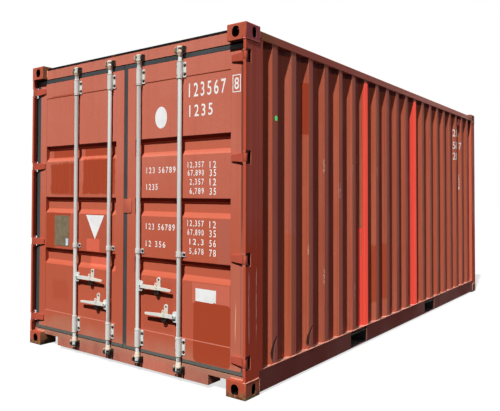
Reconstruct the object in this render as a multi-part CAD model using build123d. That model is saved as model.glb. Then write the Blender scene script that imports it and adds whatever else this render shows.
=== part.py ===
from build123d import *
import math
import os

# Overall size of the container
length = 6058
width = 2438
height = 2591

# Corner castings: hollow blocks with a slot and two side apertures each
casting_long = 178
casting_wide = 162
casting_high = 118
casting_outer_wall = 15
casting_inner_wall = 12
casting_slot_wall = 24
casting_round = 8
hole_end_inset = 102.5
hole_side_inset = 89.5
slot_long = 124
slot_wide = 63.5
side_hole_high = 79.5
end_hole_wide = 63.5
side_hole_wide = 51

# Steel frame: the castings stand proud of the posts and rails by the setback
face_setback = 3
post_sheet = 6
rear_post_deep = 215
rear_flange_wide = 23
stop_post_wide = 46
front_post_return = 40

# Side rails
top_rail_size = 60
top_rail_wall = 4
roof_drop = 31
bottom_rail_high = 150
bottom_rail_lift = 17
bottom_rail_wall = 4.5
bottom_rail_top_flange = 48
bottom_rail_low_flange = 30

# Corrugated walls
wall_sheet = 2
wall_setback = 4
rib_pitch = 278
rib_face = 72
rib_slope = 68
rib_depth = 36
front_rib_pitch = 250
front_rib_face = 110
front_rib_slope = 18
front_rib_depth = 45.6
front_wall_setback = 11

# Roof
roof_ridge_pitch = 209
roof_ridge_wide = 118
roof_ridge_slope = 13.5
roof_ridge_high = 20
roof_ridge_margin = 100
roof_edge_inset = 8
corner_plate_long = 190
corner_plate_wide = 240
corner_plate_thick = 4

# Door end
door_face_recess = 50
leaf_thick = 50
leaf_head_gap = 41
leaf_foot_gap = 33
leaf_side_gap = 73
leaf_inner_edge = 22
stile_wide = 90
stile_wall = 4
leaf_top_rail_high = 140
leaf_bottom_rail_high = 155
leaf_rail_wall = 4
panel_sheet = 2
panel_inset = 2
groove_count = 3
groove_pitch = 469
groove_high = 145
groove_slope = 38
groove_depth = 34
header_drop = 125
header_deep = 104
header_wall = 6
header_lip = 11
door_stop_high = 36
door_stop_thick = 10
door_stop_gap = 5
sill_low = 24
sill_high = 113
sill_deep = 150
sill_wall = 6
notch_long = 194
notch_high = 75

# Door gaskets
gasket_wide = 50
gasket_gap = 5

# Hinges: four on each side
hinge_count = 4
hinge_foot_inset = 79
hinge_head_inset = 67
hinge_pin_setback = 16
hinge_pin_inset = 16
pin_radius = 8
lug_bore_gap = 0.05
knuckle_bore_gap = 0.1
knuckle_radius = 13
knuckle_high = 62
lug_thick = 14
lug_gap = 1.5
lug_long = 39
window_deep = 64
blade_reach = 136
blade_bend = 35
blade_tip_high = 46
blade_tip_thick = 10
blade_thick = 19
blade_relief = 3

# Lock rods, their guides, cams and keepers
rod_radius = 17
rod_face_gap = 6
outer_rod_place = 600
inner_rod_place = 170
rod_foot_rise = 43
cam_high = 50
cam_radius = 24
keeper_gap = 30
keeper_ear_thick = 12
keeper_deep = 42
keeper_foot = 3
keeper_foot_thick = 8
keeper_round = 17
guide_bore_gap = 0.5
guide_strap = 5
guide_half_width = 47
guide_foot_thick = 6
top_guide_drop = 29
top_guide_high = 115
low_guide_rise = 29
low_guide_high = 120
middle_guide_low = 930
middle_guide_high = 35

# Handles and their retainers
upper_handle_level = 675
lower_handle_level = 476
upper_handle_reach = 352
lower_handle_reach = 328
hub_reach = 40
hub_thick = 10
hub_high = 80
hub_round = 17
handle_gap = 2.5
handle_thick = 10
handle_high = 30
handle_tip_high = 18
handle_pin_radius = 7
handle_pin_gap = 0.2
handle_head_radius = 11
handle_head_thick = 3
handle_head_gap = 1
seal_lug_long = 56
seal_lug_wide = 24
seal_lug_thick = 4
seal_lug_tilt = 18
seal_hole_radius = 6
upper_retainer_reach = 208
lower_retainer_reach = 144
retainer_wide = 40
retainer_plate = 6
retainer_tab_high = 80
retainer_ring_drop = 24
retainer_ring_radius = 15
retainer_ring_bore = 7
retainer_ring_deep = 20
retainer_shelf_thick = 7
retainer_shelf_deep = 28
retainer_bolt_radius = 7
seat_gap = 0.3

# Plates on the doors
data_plate_wide = 202
data_plate_high = 276
data_plate_inset = 325
data_plate_level = 1065
data_plate_thick = 2
overlap_plate_left = 14
overlap_plate_right = 76
overlap_plate_high = 114
overlap_plate_level = 1302
overlap_plate_thick = 6
overlap_plate_round = 16

# Floor and underframe
floor_thick = 28
floor_board_count = 5
floor_joint = 3
cross_member_wide = 45
cross_member_wall = 4.5
pocket_spacing = 2050
pocket_offset = 128
pocket_long = 360
pocket_low = 23
pocket_high = 133
pocket_top_plate = 6
strap_wide = 200
strap_thick = 6
rear_bay_members = 5
middle_bay_members = 5
front_bay_members = 6
front_rail_flange = 40

# Vents: small hoods high on each side wall
vent_ribs_from_end = 2
vent_drop = 74
vent_high = 100
vent_wide = 60
vent_deep = 34
vent_mouth = 20

# One overrun for all cuts
overrun = 1

# Places that the sizes give
half_width = width / 2
half_length = length / 2
side_x = half_width - face_setback
door_end = -half_length + face_setback
closed_end = half_length - face_setback
casting_inner_x = half_width - casting_wide
casting_back = half_length - casting_long
top_casting_low = height - casting_high
door_face = -half_length + door_face_recess
leaf_back = door_face + leaf_thick
stop_face = leaf_back + door_stop_gap
stop_back = stop_face + door_stop_thick
rear_post_back = door_end + rear_post_deep
post_inner_x = side_x - stop_post_wide
bottom_rail_top = bottom_rail_lift + bottom_rail_high
top_rail_top = height - roof_drop
top_rail_low = top_rail_top - top_rail_size
floor_top = bottom_rail_top
floor_low = floor_top - floor_thick
floor_half = side_x - bottom_rail_top_flange
wall_outer_x = side_x - wall_setback
header_low = height - header_drop
header_back = door_face + header_deep
sill_top = sill_low + sill_high
sill_back = door_face + sill_deep
leaf_top = header_low - leaf_head_gap
leaf_bottom = sill_top + leaf_foot_gap
leaf_outer_edge = half_width - leaf_side_gap
hinge_low = leaf_bottom + hinge_foot_inset
hinge_top = leaf_top - hinge_head_inset
hinge_x = half_width - hinge_pin_inset
hinge_y = -half_length + hinge_pin_setback
rod_y = door_face - rod_face_gap - rod_radius
rod_low_end = sill_low + rod_foot_rise
rod_top_end = header_low + cam_high
front_rail_inner = closed_end - top_rail_size


def copies(reach, pitch, size):
    """How many pieces of one size fit at a pitch within a reach on each side of the middle."""
    return int((2 * reach - size) // pitch) + 1


# How many ribs and ridges the walls and the roof take
rib_count = copies(-rear_post_back, rib_pitch, rib_face + 2 * rib_slope)
front_rib_count = copies(casting_inner_x, front_rib_pitch, front_rib_face + 2 * front_rib_slope)
roof_ridge_count = copies(casting_back, roof_ridge_pitch, roof_ridge_wide)


def block(x0, x1, y0, y1, z0, z1):
    """A rectangular solid between two corners."""
    middle = Pos((x0 + x1) / 2, (y0 + y1) / 2, (z0 + z1) / 2)
    return middle * Box(abs(x1 - x0), abs(y1 - y0), abs(z1 - z0))


def bar(axis, outline, start, end):
    """An outline of (a, b) points drawn out along one axis from start to end."""
    if axis == "x":
        points = [(start, a, b) for a, b in outline]
        way = (1, 0, 0)
    elif axis == "y":
        points = [(a, start, b) for a, b in outline]
        way = (0, 1, 0)
    else:
        points = [(a, b, start) for a, b in outline]
        way = (0, 0, 1)
    face = make_face(Polyline(*points, close=True))
    return extrude(face, amount=end - start, dir=way)


def post(x, y, z0, z1, radius):
    """A round upright."""
    return Pos(x, y, (z0 + z1) / 2) * Cylinder(radius, z1 - z0)


def crosswise(x, z, y0, y1, radius):
    """A round bar that lies along Y."""
    return Pos(x, (y0 + y1) / 2, z) * Rot(90, 0, 0) * Cylinder(radius, abs(y1 - y0))


def left_of(shape):
    """The same shape on the other side of the middle plane."""
    return mirror(shape, about=Plane.YZ)


def save(name, *shapes):
    """Write the solids of one sub-part."""
    solids = [solid for shape in shapes for solid in shape.solids()]
    export_step(Compound(solids), f"parts/{name}.step")


def spaced(start, end, count):
    """Evenly spaced places from start to end, both included."""
    return [start + (end - start) * index / (count - 1) for index in range(count)]


def aperture(centre, along, facing, long_side, short_side, depth):
    """A cutter for a hole with round ends."""
    plane = Plane(origin=centre, x_dir=along, z_dir=facing)
    return extrude(plane * SlotOverall(long_side, short_side), amount=depth, both=True)


def corner_casting():
    """The top casting at the closed end on the right, with its slot, two apertures and cavity."""
    x0, x1 = casting_inner_x, half_width
    y0, y1 = casting_back, half_length
    z0, z1 = top_casting_low, height
    body = block(x0, x1, y0, y1, z0, z1)
    outer_edges = []
    for edge in body.edges():
        middle = edge.center()
        on_faces = [math.isclose(middle.X, x1), math.isclose(middle.Y, y1), math.isclose(middle.Z, z1)]
        if sum(on_faces) == 2:
            outer_edges.append(edge)
    body = fillet(outer_edges, casting_round)
    body -= block(
        x0 + casting_inner_wall, x1 - casting_outer_wall,
        y0 + casting_inner_wall, y1 - casting_outer_wall,
        z0 + casting_inner_wall, z1 - casting_slot_wall,
    )
    slot_x = half_width - hole_side_inset
    slot_y = half_length - hole_end_inset
    level = (z0 + z1) / 2
    reach = casting_slot_wall + overrun
    body -= aperture((slot_x, slot_y, z1), (0, 1, 0), (0, 0, 1), slot_long, slot_wide, reach)
    reach = casting_outer_wall + overrun
    body -= aperture((slot_x, y1, level), (0, 0, 1), (0, 1, 0), side_hole_high, end_hole_wide, reach)
    body -= aperture((x1, slot_y, level), (0, 0, 1), (1, 0, 0), side_hole_high, side_hole_wide, reach)
    return body


def castings():
    """The four top castings, and the four bottom ones turned over."""
    right_front = corner_casting()
    right_pair = [right_front, mirror(right_front, about=Plane.XZ)]
    top = right_pair + [left_of(shape) for shape in right_pair]
    middle_level = Plane.XY.offset(height / 2)
    return top, [mirror(shape, about=middle_level) for shape in top]


def hinge_levels():
    """The middle heights of the hinges."""
    return spaced(hinge_low, hinge_top, hinge_count)


def window_half():
    """Half the height of the opening in the post at each hinge."""
    return knuckle_high / 2 + lug_gap + lug_thick


def rear_post():
    """The right post at the door end: an outer angle, a strip along the side wall and the door stop."""
    z0, z1 = casting_high, top_rail_low
    side = block(side_x - post_sheet, side_x, door_end, rear_post_back, z0, z1)
    flange = block(side_x - rear_flange_wide, side_x, door_end, door_end + post_sheet, z0, z1)
    stop = block(post_inner_x, side_x, stop_face, stop_back, z0, z1)
    inner = block(post_inner_x, post_inner_x + post_sheet, stop_face, rear_post_back, z0, z1)
    back = block(post_inner_x, side_x, rear_post_back - post_sheet, rear_post_back, z0, z1)
    shape = side + flange + stop + inner + back
    x0, x1 = casting_inner_x, half_width
    shape -= block(x0, x1, -half_length, -casting_back, top_casting_low, z1 + overrun)
    shape -= block(x0, x1, -casting_back, rear_post_back + overrun, z0 - overrun, bottom_rail_top)
    for level in hinge_levels():
        low, high = level - window_half(), level + window_half()
        window_back = door_end + window_deep
        shape -= block(hinge_x - knuckle_radius - overrun, x1, -half_length, window_back, low, high)
    return shape


def front_post():
    """The right post at the closed end: an open pressed section."""
    z0, z1 = casting_high, top_casting_low
    side = block(side_x - post_sheet, side_x, casting_back, closed_end, z0, z1)
    face = block(casting_inner_x, side_x, closed_end - post_sheet, closed_end, z0, z1)
    side_return = block(side_x - front_post_return, side_x, casting_back, casting_back + post_sheet, z0, z1)
    inner_x = casting_inner_x + post_sheet
    face_return = block(casting_inner_x, inner_x, closed_end - front_post_return, closed_end, z0, z1)
    return side + face + side_return + face_return


def hinge_lugs():
    """The two lugs of each hinge on the right, with the bore for the pin."""
    lugs = []
    for level in hinge_levels():
        for side in (-1, 1):
            near = level + side * (knuckle_high / 2 + lug_gap)
            far = near + side * lug_thick
            low, high = min(near, far), max(near, far)
            back = door_end + lug_long
            lug = block(hinge_x - knuckle_radius, side_x, door_end, back, low, high)
            lug -= post(hinge_x, hinge_y, low - overrun, high + overrun, pin_radius + lug_bore_gap)
            lugs.append(lug)
    return lugs


def hinge_pins():
    """The pins of the right door, as long as the lugs reach."""
    pins = []
    for level in hinge_levels():
        pins.append(post(hinge_x, hinge_y, level - window_half(), level + window_half(), pin_radius))
    return pins


def hinge_blades():
    """The forged blades on the right door: a knuckle round the pin and a tapered strap on the stile."""
    blades = []
    tip_x = hinge_x - blade_reach
    bend_x = hinge_x - blade_bend
    outer_y = door_face - blade_thick
    outline = [
        (tip_x, door_face),
        (leaf_outer_edge, door_face),
        (leaf_outer_edge, door_face - blade_relief),
        (hinge_x, hinge_y + knuckle_radius),
        (hinge_x, hinge_y),
        (hinge_x - knuckle_radius * math.sin(math.pi / 4), hinge_y - knuckle_radius * math.cos(math.pi / 4)),
        (bend_x, outer_y),
        (tip_x, door_face - blade_tip_thick),
    ]
    for level in hinge_levels():
        low, high = level - knuckle_high / 2, level + knuckle_high / 2
        strap = bar("z", outline, low, high) + post(hinge_x, hinge_y, low, high, knuckle_radius)
        side_view = [
            (tip_x - overrun, level - blade_tip_high / 2),
            (bend_x, low),
            (hinge_x + knuckle_radius + overrun, low),
            (hinge_x + knuckle_radius + overrun, high),
            (bend_x, high),
            (tip_x - overrun, level + blade_tip_high / 2),
        ]
        strap &= bar("y", side_view, -half_length - overrun, door_face + overrun)
        strap -= post(hinge_x, hinge_y, low - overrun, high + overrun, pin_radius + knuckle_bore_gap)
        blades.append(strap)
    return blades


def header():
    """The beam over the doors: a box with a lip at the roof and the stop that hangs under it."""
    x0, x1 = -casting_inner_x, casting_inner_x
    shape = block(x0, x1, door_face, header_back, header_low, top_rail_top)
    wall = header_wall
    inner = (door_face + wall, header_back - wall, header_low + wall, top_rail_top - wall)
    shape -= block(x0 - overrun, x1 + overrun, *inner)
    shape += block(x0, x1, door_face, door_face + wall, top_rail_top, top_rail_top + header_lip)
    shape += block(x0, x1, stop_face, stop_back, header_low - door_stop_high, header_low)
    return shape


def sill():
    """The beam under the doors, with its two notches, the step that stops the doors and the threshold."""
    x0, x1 = -casting_inner_x, casting_inner_x
    shape = block(x0, x1, door_face, sill_back, sill_low, sill_top)
    shape -= block(
        x0 - overrun, x1 + overrun, door_face + sill_wall, sill_back - sill_wall,
        sill_low + sill_wall, sill_top - sill_wall,
    )
    notch_top = sill_low + notch_high
    for side in (-1, 1):
        near, far = side * (casting_inner_x - notch_long), side * casting_inner_x
        wall = side * sill_wall
        shape += block(near - wall, far, door_face, sill_back, sill_low, notch_top + sill_wall)
        past, front, back = far + side * overrun, door_face - overrun, sill_back + overrun
        shape -= block(near, past, front, back, sill_low - overrun, notch_top)
    for side in (-1, 1):
        near, middle, far = (side * x for x in (casting_inner_x, post_inner_x, side_x - post_sheet))
        shape += block(near, middle, door_face, stop_back, casting_high, sill_top)
        shape += block(middle, far, door_face, stop_face, casting_high, sill_top)
    shape += block(-post_inner_x, post_inner_x, stop_face, stop_back, sill_top, floor_top)
    shape += block(-floor_half, floor_half, stop_face, sill_back, floor_top - sill_wall, floor_top)
    shape += block(-floor_half, floor_half, sill_back - sill_wall, sill_back, floor_low, floor_top)
    shape += block(x0, x1, sill_back - sill_wall, sill_back, sill_top - sill_wall, floor_top)
    return shape


def rod_places():
    """Each lock rod: its name, its place across, and its handle's way, level, reach and hold."""
    upper = (upper_handle_level, upper_handle_reach, upper_retainer_reach)
    lower = (lower_handle_level, lower_handle_reach, lower_retainer_reach)
    return [
        ("left_outer", -outer_rod_place, 1, *upper),
        ("left_inner", -inner_rod_place, -1, *lower),
        ("right_inner", inner_rod_place, 1, *upper),
        ("right_outer", outer_rod_place, -1, *lower),
    ]


def keeper_ear(near, far, low):
    """One ear of a keeper, with its two front corners rounded."""
    front = door_face - keeper_deep
    ear = block(near, far, front, door_face, low, low + cam_high)
    corners = [edge for edge in ear.edges().filter_by(Axis.X) if math.isclose(edge.center().Y, front)]
    return fillet(corners, keeper_round)


def keepers():
    """Two ears on the header and two on the sill for each rod, with a welded foot."""
    ears = []
    for name, x, way, *rest in rod_places():
        for low in (rod_low_end, rod_top_end - cam_high):
            for side in (-1, 1):
                near = x + side * keeper_gap
                far = near + side * keeper_ear_thick
                ear = keeper_ear(near, far, low)
                foot_end = far + side * keeper_foot
                ear += block(near, foot_end, door_face - keeper_foot_thick, door_face, low, low + cam_high)
                ears.append(ear)
    return ears


def top_side_rail():
    """The square tube along the top of the right wall."""
    x0, x1 = side_x - top_rail_size, side_x
    shape = block(x0, x1, -casting_back, casting_back, top_rail_low, top_rail_top)
    wall = top_rail_wall
    inner = (x0 + wall, x1 - wall, -casting_back - overrun, casting_back + overrun)
    return shape - block(*inner, top_rail_low + wall, top_rail_top - wall)


def bottom_side_rail():
    """The channel under the right wall, cut for the two fork pockets."""
    web_x = side_x - bottom_rail_wall
    web = block(web_x, side_x, -casting_back, casting_back, bottom_rail_lift, bottom_rail_top)
    top_low = bottom_rail_top - bottom_rail_wall
    top = block(floor_half, side_x, -casting_back, casting_back, top_low, bottom_rail_top)
    flange_x = side_x - bottom_rail_low_flange
    flange_top = bottom_rail_lift + bottom_rail_wall
    low = block(flange_x, side_x, -casting_back, casting_back, bottom_rail_lift, flange_top)
    shape = web + top + low
    for y in pocket_places():
        y0, y1 = y - pocket_long / 2, y + pocket_long / 2
        high = pocket_low + pocket_high
        shape -= block(web_x - overrun, side_x + overrun, y0, y1, pocket_low, high)
    return shape


def pocket_places():
    """The middles of the fork pockets along the container."""
    return [-pocket_offset - pocket_spacing / 2, -pocket_offset + pocket_spacing / 2]


def front_rails():
    """The square tube over the front wall and the channel under it."""
    x0, x1 = -casting_inner_x, casting_inner_x
    top = block(x0, x1, front_rail_inner, closed_end, top_rail_low, top_rail_top)
    wall = top_rail_wall
    inner = (x0 - overrun, x1 + overrun, front_rail_inner + wall, closed_end - wall)
    top -= block(*inner, top_rail_low + wall, top_rail_top - wall)
    web_y = closed_end - bottom_rail_wall
    back_y = closed_end - top_rail_size
    bottom = block(x0, x1, web_y, closed_end, bottom_rail_lift, bottom_rail_top)
    bottom += block(x0, x1, back_y, closed_end, bottom_rail_top - bottom_rail_wall, bottom_rail_top)
    flange_y = closed_end - front_rail_flange
    bottom += block(x0, x1, flange_y, closed_end, bottom_rail_lift, bottom_rail_lift + bottom_rail_wall)
    return top, bottom


def corrugated_outline(start, end, count, pitch, face, slope, outer, depth):
    """The outline of a pressed sheet with trapezoid ribs at an even pitch about the middle."""
    line = [(start, outer - depth)]
    for index in range(count):
        centre = (index - (count - 1) / 2) * pitch
        line.append((centre - face / 2 - slope, outer - depth))
        line.append((centre - face / 2, outer))
        line.append((centre + face / 2, outer))
        line.append((centre + face / 2 + slope, outer - depth))
    line.append((end, outer - depth))
    back = [(along, out - wall_sheet) for along, out in reversed(line)]
    return line + back


def side_wall():
    """The right side wall: upright ribs between the posts, from the bottom rail to the top rail."""
    outline = corrugated_outline(
        rear_post_back, casting_back, rib_count, rib_pitch, rib_face, rib_slope, wall_outer_x, rib_depth,
    )
    return bar("z", [(out, along) for along, out in outline], bottom_rail_top, top_rail_low)


def front_wall():
    """The closed end: upright ribs between the front posts."""
    outer = closed_end - front_wall_setback
    outline = corrugated_outline(
        -casting_inner_x, casting_inner_x, front_rib_count, front_rib_pitch,
        front_rib_face, front_rib_slope, outer, front_rib_depth,
    )
    return bar("z", outline, bottom_rail_top, top_rail_low)


def roof():
    """The roof sheet with stamped cross ridges, and the flat end sheets between the castings."""
    edge_x = side_x - roof_edge_inset
    low, high = top_rail_top, top_rail_top + wall_sheet
    sheet = block(-edge_x, edge_x, -casting_back, casting_back, low, high)
    ends = []
    for start, end in ((door_face + header_wall, -casting_back), (casting_back, closed_end)):
        ends.append(block(-casting_inner_x, casting_inner_x, start, end, low, high))
    ridge_half = edge_x - roof_ridge_margin
    taper = math.degrees(math.atan(roof_ridge_slope / roof_ridge_high))
    places = [(index - (roof_ridge_count - 1) / 2) * roof_ridge_pitch for index in range(roof_ridge_count)]
    ridges = []
    hollows = []
    for y in places:
        foot = Pos(0, y, high) * Rectangle(ridge_half * 2, roof_ridge_wide)
        ridges.append(extrude(foot, amount=roof_ridge_high, taper=taper))
        under = Pos(0, y, low) * Rectangle(ridge_half * 2, roof_ridge_wide)
        hollows.append(extrude(under, amount=roof_ridge_high, taper=taper))
    return [(sheet + ridges) - hollows, *ends]


def roof_corner_plates():
    """Plates welded on the roof beside each top casting."""
    plates = []
    for end_y in (door_face + header_wall, closed_end):
        inward = 1 if end_y < 0 else -1
        for side in (-1, 1):
            near, far = side * casting_inner_x, side * (casting_inner_x - corner_plate_wide)
            low = top_rail_top + wall_sheet
            back_y = end_y + inward * corner_plate_long
            plates.append(block(near, far, end_y, back_y, low, low + corner_plate_thick))
    return plates


def leaf_frame():
    """The welded frame of the right door: two tube stiles and two channel rails."""
    shape = None
    for x0 in (leaf_inner_edge, leaf_outer_edge - stile_wide):
        x1 = x0 + stile_wide
        stile = block(x0, x1, door_face, leaf_back, leaf_bottom, leaf_top)
        wall = stile_wall
        inner = (x0 + wall, x1 - wall, door_face + wall, leaf_back - wall)
        stile -= block(*inner, leaf_bottom - overrun, leaf_top + overrun)
        shape = stile if shape is None else shape + stile
    x0, x1 = leaf_inner_edge + stile_wide, leaf_outer_edge - stile_wide
    rails = (leaf_top - leaf_top_rail_high, leaf_top), (leaf_bottom, leaf_bottom + leaf_bottom_rail_high)
    for z0, z1 in rails:
        rail = block(x0, x1, door_face, leaf_back, z0, z1)
        wall = leaf_rail_wall
        rail -= block(x0, x1, door_face + wall, leaf_back + overrun, z0 + wall, z1 - wall)
        shape += rail
    return shape


def leaf_panel():
    """The pressed panel of the right door with its level grooves."""
    x0, x1 = leaf_inner_edge + stile_wide, leaf_outer_edge - stile_wide
    low, high = leaf_bottom + leaf_bottom_rail_high, leaf_top - leaf_top_rail_high
    front = door_face + panel_inset
    deep = front + groove_depth
    line = [(front, low)]
    for index in range(groove_count):
        level = (leaf_top + leaf_bottom) / 2 + (index - (groove_count - 1) / 2) * groove_pitch
        line.append((front, level - groove_high / 2))
        line.append((deep, level - groove_high / 2 + groove_slope))
        line.append((deep, level + groove_high / 2 - groove_slope))
        line.append((front, level + groove_high / 2))
    line.append((front, high))
    back = [(y + panel_sheet, z) for y, z in reversed(line)]
    return bar("x", line + back, x0, x1)


def gasket_ring(inner_x):
    """The rubber round the right door, with its inner strip from inner_x."""
    outer_x = leaf_outer_edge + gasket_wide
    top = header_low - gasket_gap
    bottom = sill_top + gasket_gap
    ring = block(inner_x, outer_x, door_face, leaf_back, bottom, top)
    return ring - block(
        leaf_inner_edge, leaf_outer_edge,
        door_face - overrun, leaf_back + overrun,
        leaf_bottom, leaf_top,
    )


def guides(places):
    """The straps that hold the rods to a door: tall ones at the ends and a short one in the middle."""
    straps = []
    bore = rod_radius + guide_bore_gap
    outer = bore + guide_strap
    levels = (
        (leaf_top - top_guide_drop - top_guide_high, top_guide_high),
        (leaf_bottom + low_guide_rise, low_guide_high),
        (middle_guide_low, middle_guide_high),
    )
    for name, x, way, *rest in places:
        for low, tall in levels:
            high = low + tall
            strap = post(x, rod_y, low, high, outer)
            strap += block(x - outer, x + outer, rod_y, door_face, low, high)
            foot_y = door_face - guide_foot_thick
            strap += block(x - guide_half_width, x + guide_half_width, foot_y, door_face, low, high)
            strap -= post(x, rod_y, low - overrun, high + overrun, bore)
            strap -= block(x - bore, x + bore, rod_y, door_face + overrun, low - overrun, high + overrun)
            straps.append(strap)
    return straps


def lock_rod(x, way, level):
    """A lock rod with a cam at each end and the lug and pin that carry its handle."""
    shape = post(x, rod_y, rod_low_end, rod_top_end, rod_radius)
    for low in (rod_low_end, rod_top_end - cam_high):
        lobe = post(x, rod_y, low, low + cam_high, cam_radius)
        reach = cam_radius + overrun
        lobe &= block(x, x + way * reach, rod_y - reach, rod_y, low, low + cam_high)
        shape += lobe
    hub_x = x + way * hub_reach
    hub_y0, hub_y1 = rod_y - hub_thick / 2, rod_y + hub_thick / 2
    low, high = level - hub_high / 2 + hub_round, level + hub_high / 2 - hub_round
    shape += block(x, hub_x, hub_y0, hub_y1, level - hub_high / 2, level + hub_high / 2)
    shape += block(hub_x, hub_x + way * hub_round, hub_y0, hub_y1, low, high)
    for end in (low, high):
        shape += crosswise(hub_x, end, hub_y0, hub_y1, hub_round)
    handle_front = hub_y0 - handle_gap - handle_thick
    head_back = handle_front - handle_head_gap
    head_front = head_back - handle_head_thick
    shape += crosswise(hub_x, level, head_front, hub_y1, handle_pin_radius)
    shape += crosswise(hub_x, level, head_front, head_back, handle_head_radius)
    return shape


def handle(x, way, level, reach, seal_reach):
    """A flat handle with an eye on the pin, a tapered grip with a round end and a leaning seal lug."""
    back = rod_y - hub_thick / 2 - handle_gap
    front = back - handle_thick
    hub_x = x + way * hub_reach
    tip_x = x + way * reach
    outline = [
        (hub_x, level - handle_high / 2),
        (tip_x, level - handle_high / 2),
        (tip_x, level - handle_high / 2 + handle_tip_high),
        (x + way * seal_reach, level + handle_high / 2),
        (hub_x, level + handle_high / 2),
    ]
    shape = bar("y", outline, front, back)
    shape += crosswise(hub_x, level, front, back, hub_round)
    tip_round = handle_tip_high / 2
    shape += crosswise(tip_x, level - handle_high / 2 + tip_round, front, back, tip_round)
    shape -= crosswise(hub_x, level, front - overrun, back + overrun, handle_pin_radius + handle_pin_gap)
    lug = Box(seal_lug_wide, seal_lug_thick, seal_lug_long)
    hole_level = (seal_lug_long - seal_lug_wide) / 2
    lug -= crosswise(0, hole_level, -handle_thick, handle_thick, seal_hole_radius)
    rise = (seal_lug_long - handle_high) / 2
    place = Pos(x + way * seal_reach, front - seal_lug_thick / 2, level + rise)
    return shape + place * Rot(0, seal_lug_tilt, 0) * lug


def retainer(x, level):
    """A handle retainer: a tab with a hole over the handle, a shelf that it rests on and a ring below."""
    half = retainer_wide / 2
    plate_y = door_face - retainer_plate
    shelf_top = level - handle_high / 2 - seat_gap
    shelf_low = shelf_top - retainer_shelf_thick
    ring_level = level - retainer_ring_drop
    top = level + retainer_tab_high
    shape = block(x - half, x + half, plate_y, door_face, ring_level, top - half)
    shape += crosswise(x, top - half, plate_y, door_face, half)
    shape += block(x - half, x + half, plate_y - retainer_shelf_deep, door_face, shelf_low, shelf_top)
    ring_front = plate_y - retainer_ring_deep
    shape += crosswise(x, ring_level - retainer_ring_radius / 2, ring_front, door_face, retainer_ring_radius)
    ring_middle = ring_level - retainer_ring_radius / 2
    shape -= crosswise(x, ring_middle, ring_front - overrun, plate_y, retainer_ring_bore)
    shape -= crosswise(x, top - half, plate_y - overrun, door_face + overrun, retainer_bolt_radius)
    return shape


def door_plates():
    """The data plate on the left door, and the plate that covers the joint on the right door."""
    middle = data_plate_inset - leaf_outer_edge
    half = data_plate_wide / 2
    low, high = data_plate_level - data_plate_high / 2, data_plate_level + data_plate_high / 2
    front = door_face + panel_inset
    data = block(middle - half, middle + half, front - data_plate_thick, front, low, high)
    low, high = overlap_plate_level - overlap_plate_high / 2, overlap_plate_level + overlap_plate_high / 2
    front = door_face - overlap_plate_thick
    overlap = block(-overlap_plate_left, overlap_plate_right, front, door_face, low, high)
    corners = [edge for edge in overlap.edges().filter_by(Axis.Y) if edge.center().X > 0]
    return data, fillet(corners, overlap_plate_round)


def floor():
    """The plywood boards between the threshold and the front wall."""
    start = sill_back
    pitch = (front_rail_inner - start + floor_joint) / floor_board_count
    boards = []
    for index in range(floor_board_count):
        y0 = start + index * pitch
        boards.append(block(-floor_half, floor_half, y0, y0 + pitch - floor_joint, floor_low, floor_top))
    return boards


def member_places():
    """The cross members: one at each side of each fork pocket and even rows between them."""
    first, second = pocket_places()
    side = pocket_long / 2
    rear = spaced(sill_back, first - side - cross_member_wide, rear_bay_members + 1)[1:]
    middle = spaced(first + side, second - side - cross_member_wide, middle_bay_members)
    front = spaced(second + side, front_rail_inner - cross_member_wide, front_bay_members)
    return rear + middle + front


def cross_members():
    """Channels across the floor that rest on the lower flanges of the bottom rails."""
    channels = []
    low = bottom_rail_lift + bottom_rail_wall
    wall = cross_member_wall
    for start in member_places():
        end = start + cross_member_wide
        outline = [
            (start, low), (end, low), (end, low + wall), (start + wall, low + wall),
            (start + wall, floor_low - wall), (end, floor_low - wall), (end, floor_low),
            (start, floor_low),
        ]
        past_rails = start + cross_member_wide > casting_back
        half = casting_inner_x if past_rails else side_x - bottom_rail_wall
        channels.append(bar("x", outline, -half, half))
    return channels


def pocket_plates():
    """The top plate of each fork pocket, and the straps under its two mouths."""
    plates = []
    inner_x = side_x - bottom_rail_wall
    for y in pocket_places():
        y0, y1 = y - pocket_long / 2, y + pocket_long / 2
        plates.append(block(-inner_x, inner_x, y0, y1, floor_low - pocket_top_plate, floor_low))
        for side in (-1, 1):
            near = side * (side_x - bottom_rail_low_flange)
            far = near - side * strap_wide
            low = bottom_rail_lift + bottom_rail_wall - strap_thick
            reach = cross_member_wide
            plates.append(block(near, far, y0 - reach, y1 + reach, low, low + strap_thick))
    return plates


def vent():
    """A small hood with an open mouth underneath, in a hollow of the right wall."""
    x0 = wall_outer_x - rib_depth
    x1 = x0 + vent_deep
    half = vent_wide / 2
    high = top_rail_low - vent_drop + vent_high / 2
    low = high - vent_high
    middle = (rib_count / 2 - vent_ribs_from_end) * rib_pitch
    y0, y1 = middle - half, middle + half
    outline = [(x0, low), (x1, low), (x1, high - vent_mouth), (x0, high)]
    hood = bar("y", outline, y0, y1)
    wall = wall_sheet
    mouth = low - overrun
    hollow = [(x0, mouth), (x1 - wall, mouth), (x1 - wall, high - vent_mouth - wall), (x0, high - wall)]
    return hood - bar("y", hollow, y0 + wall, y1 - wall)


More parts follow.
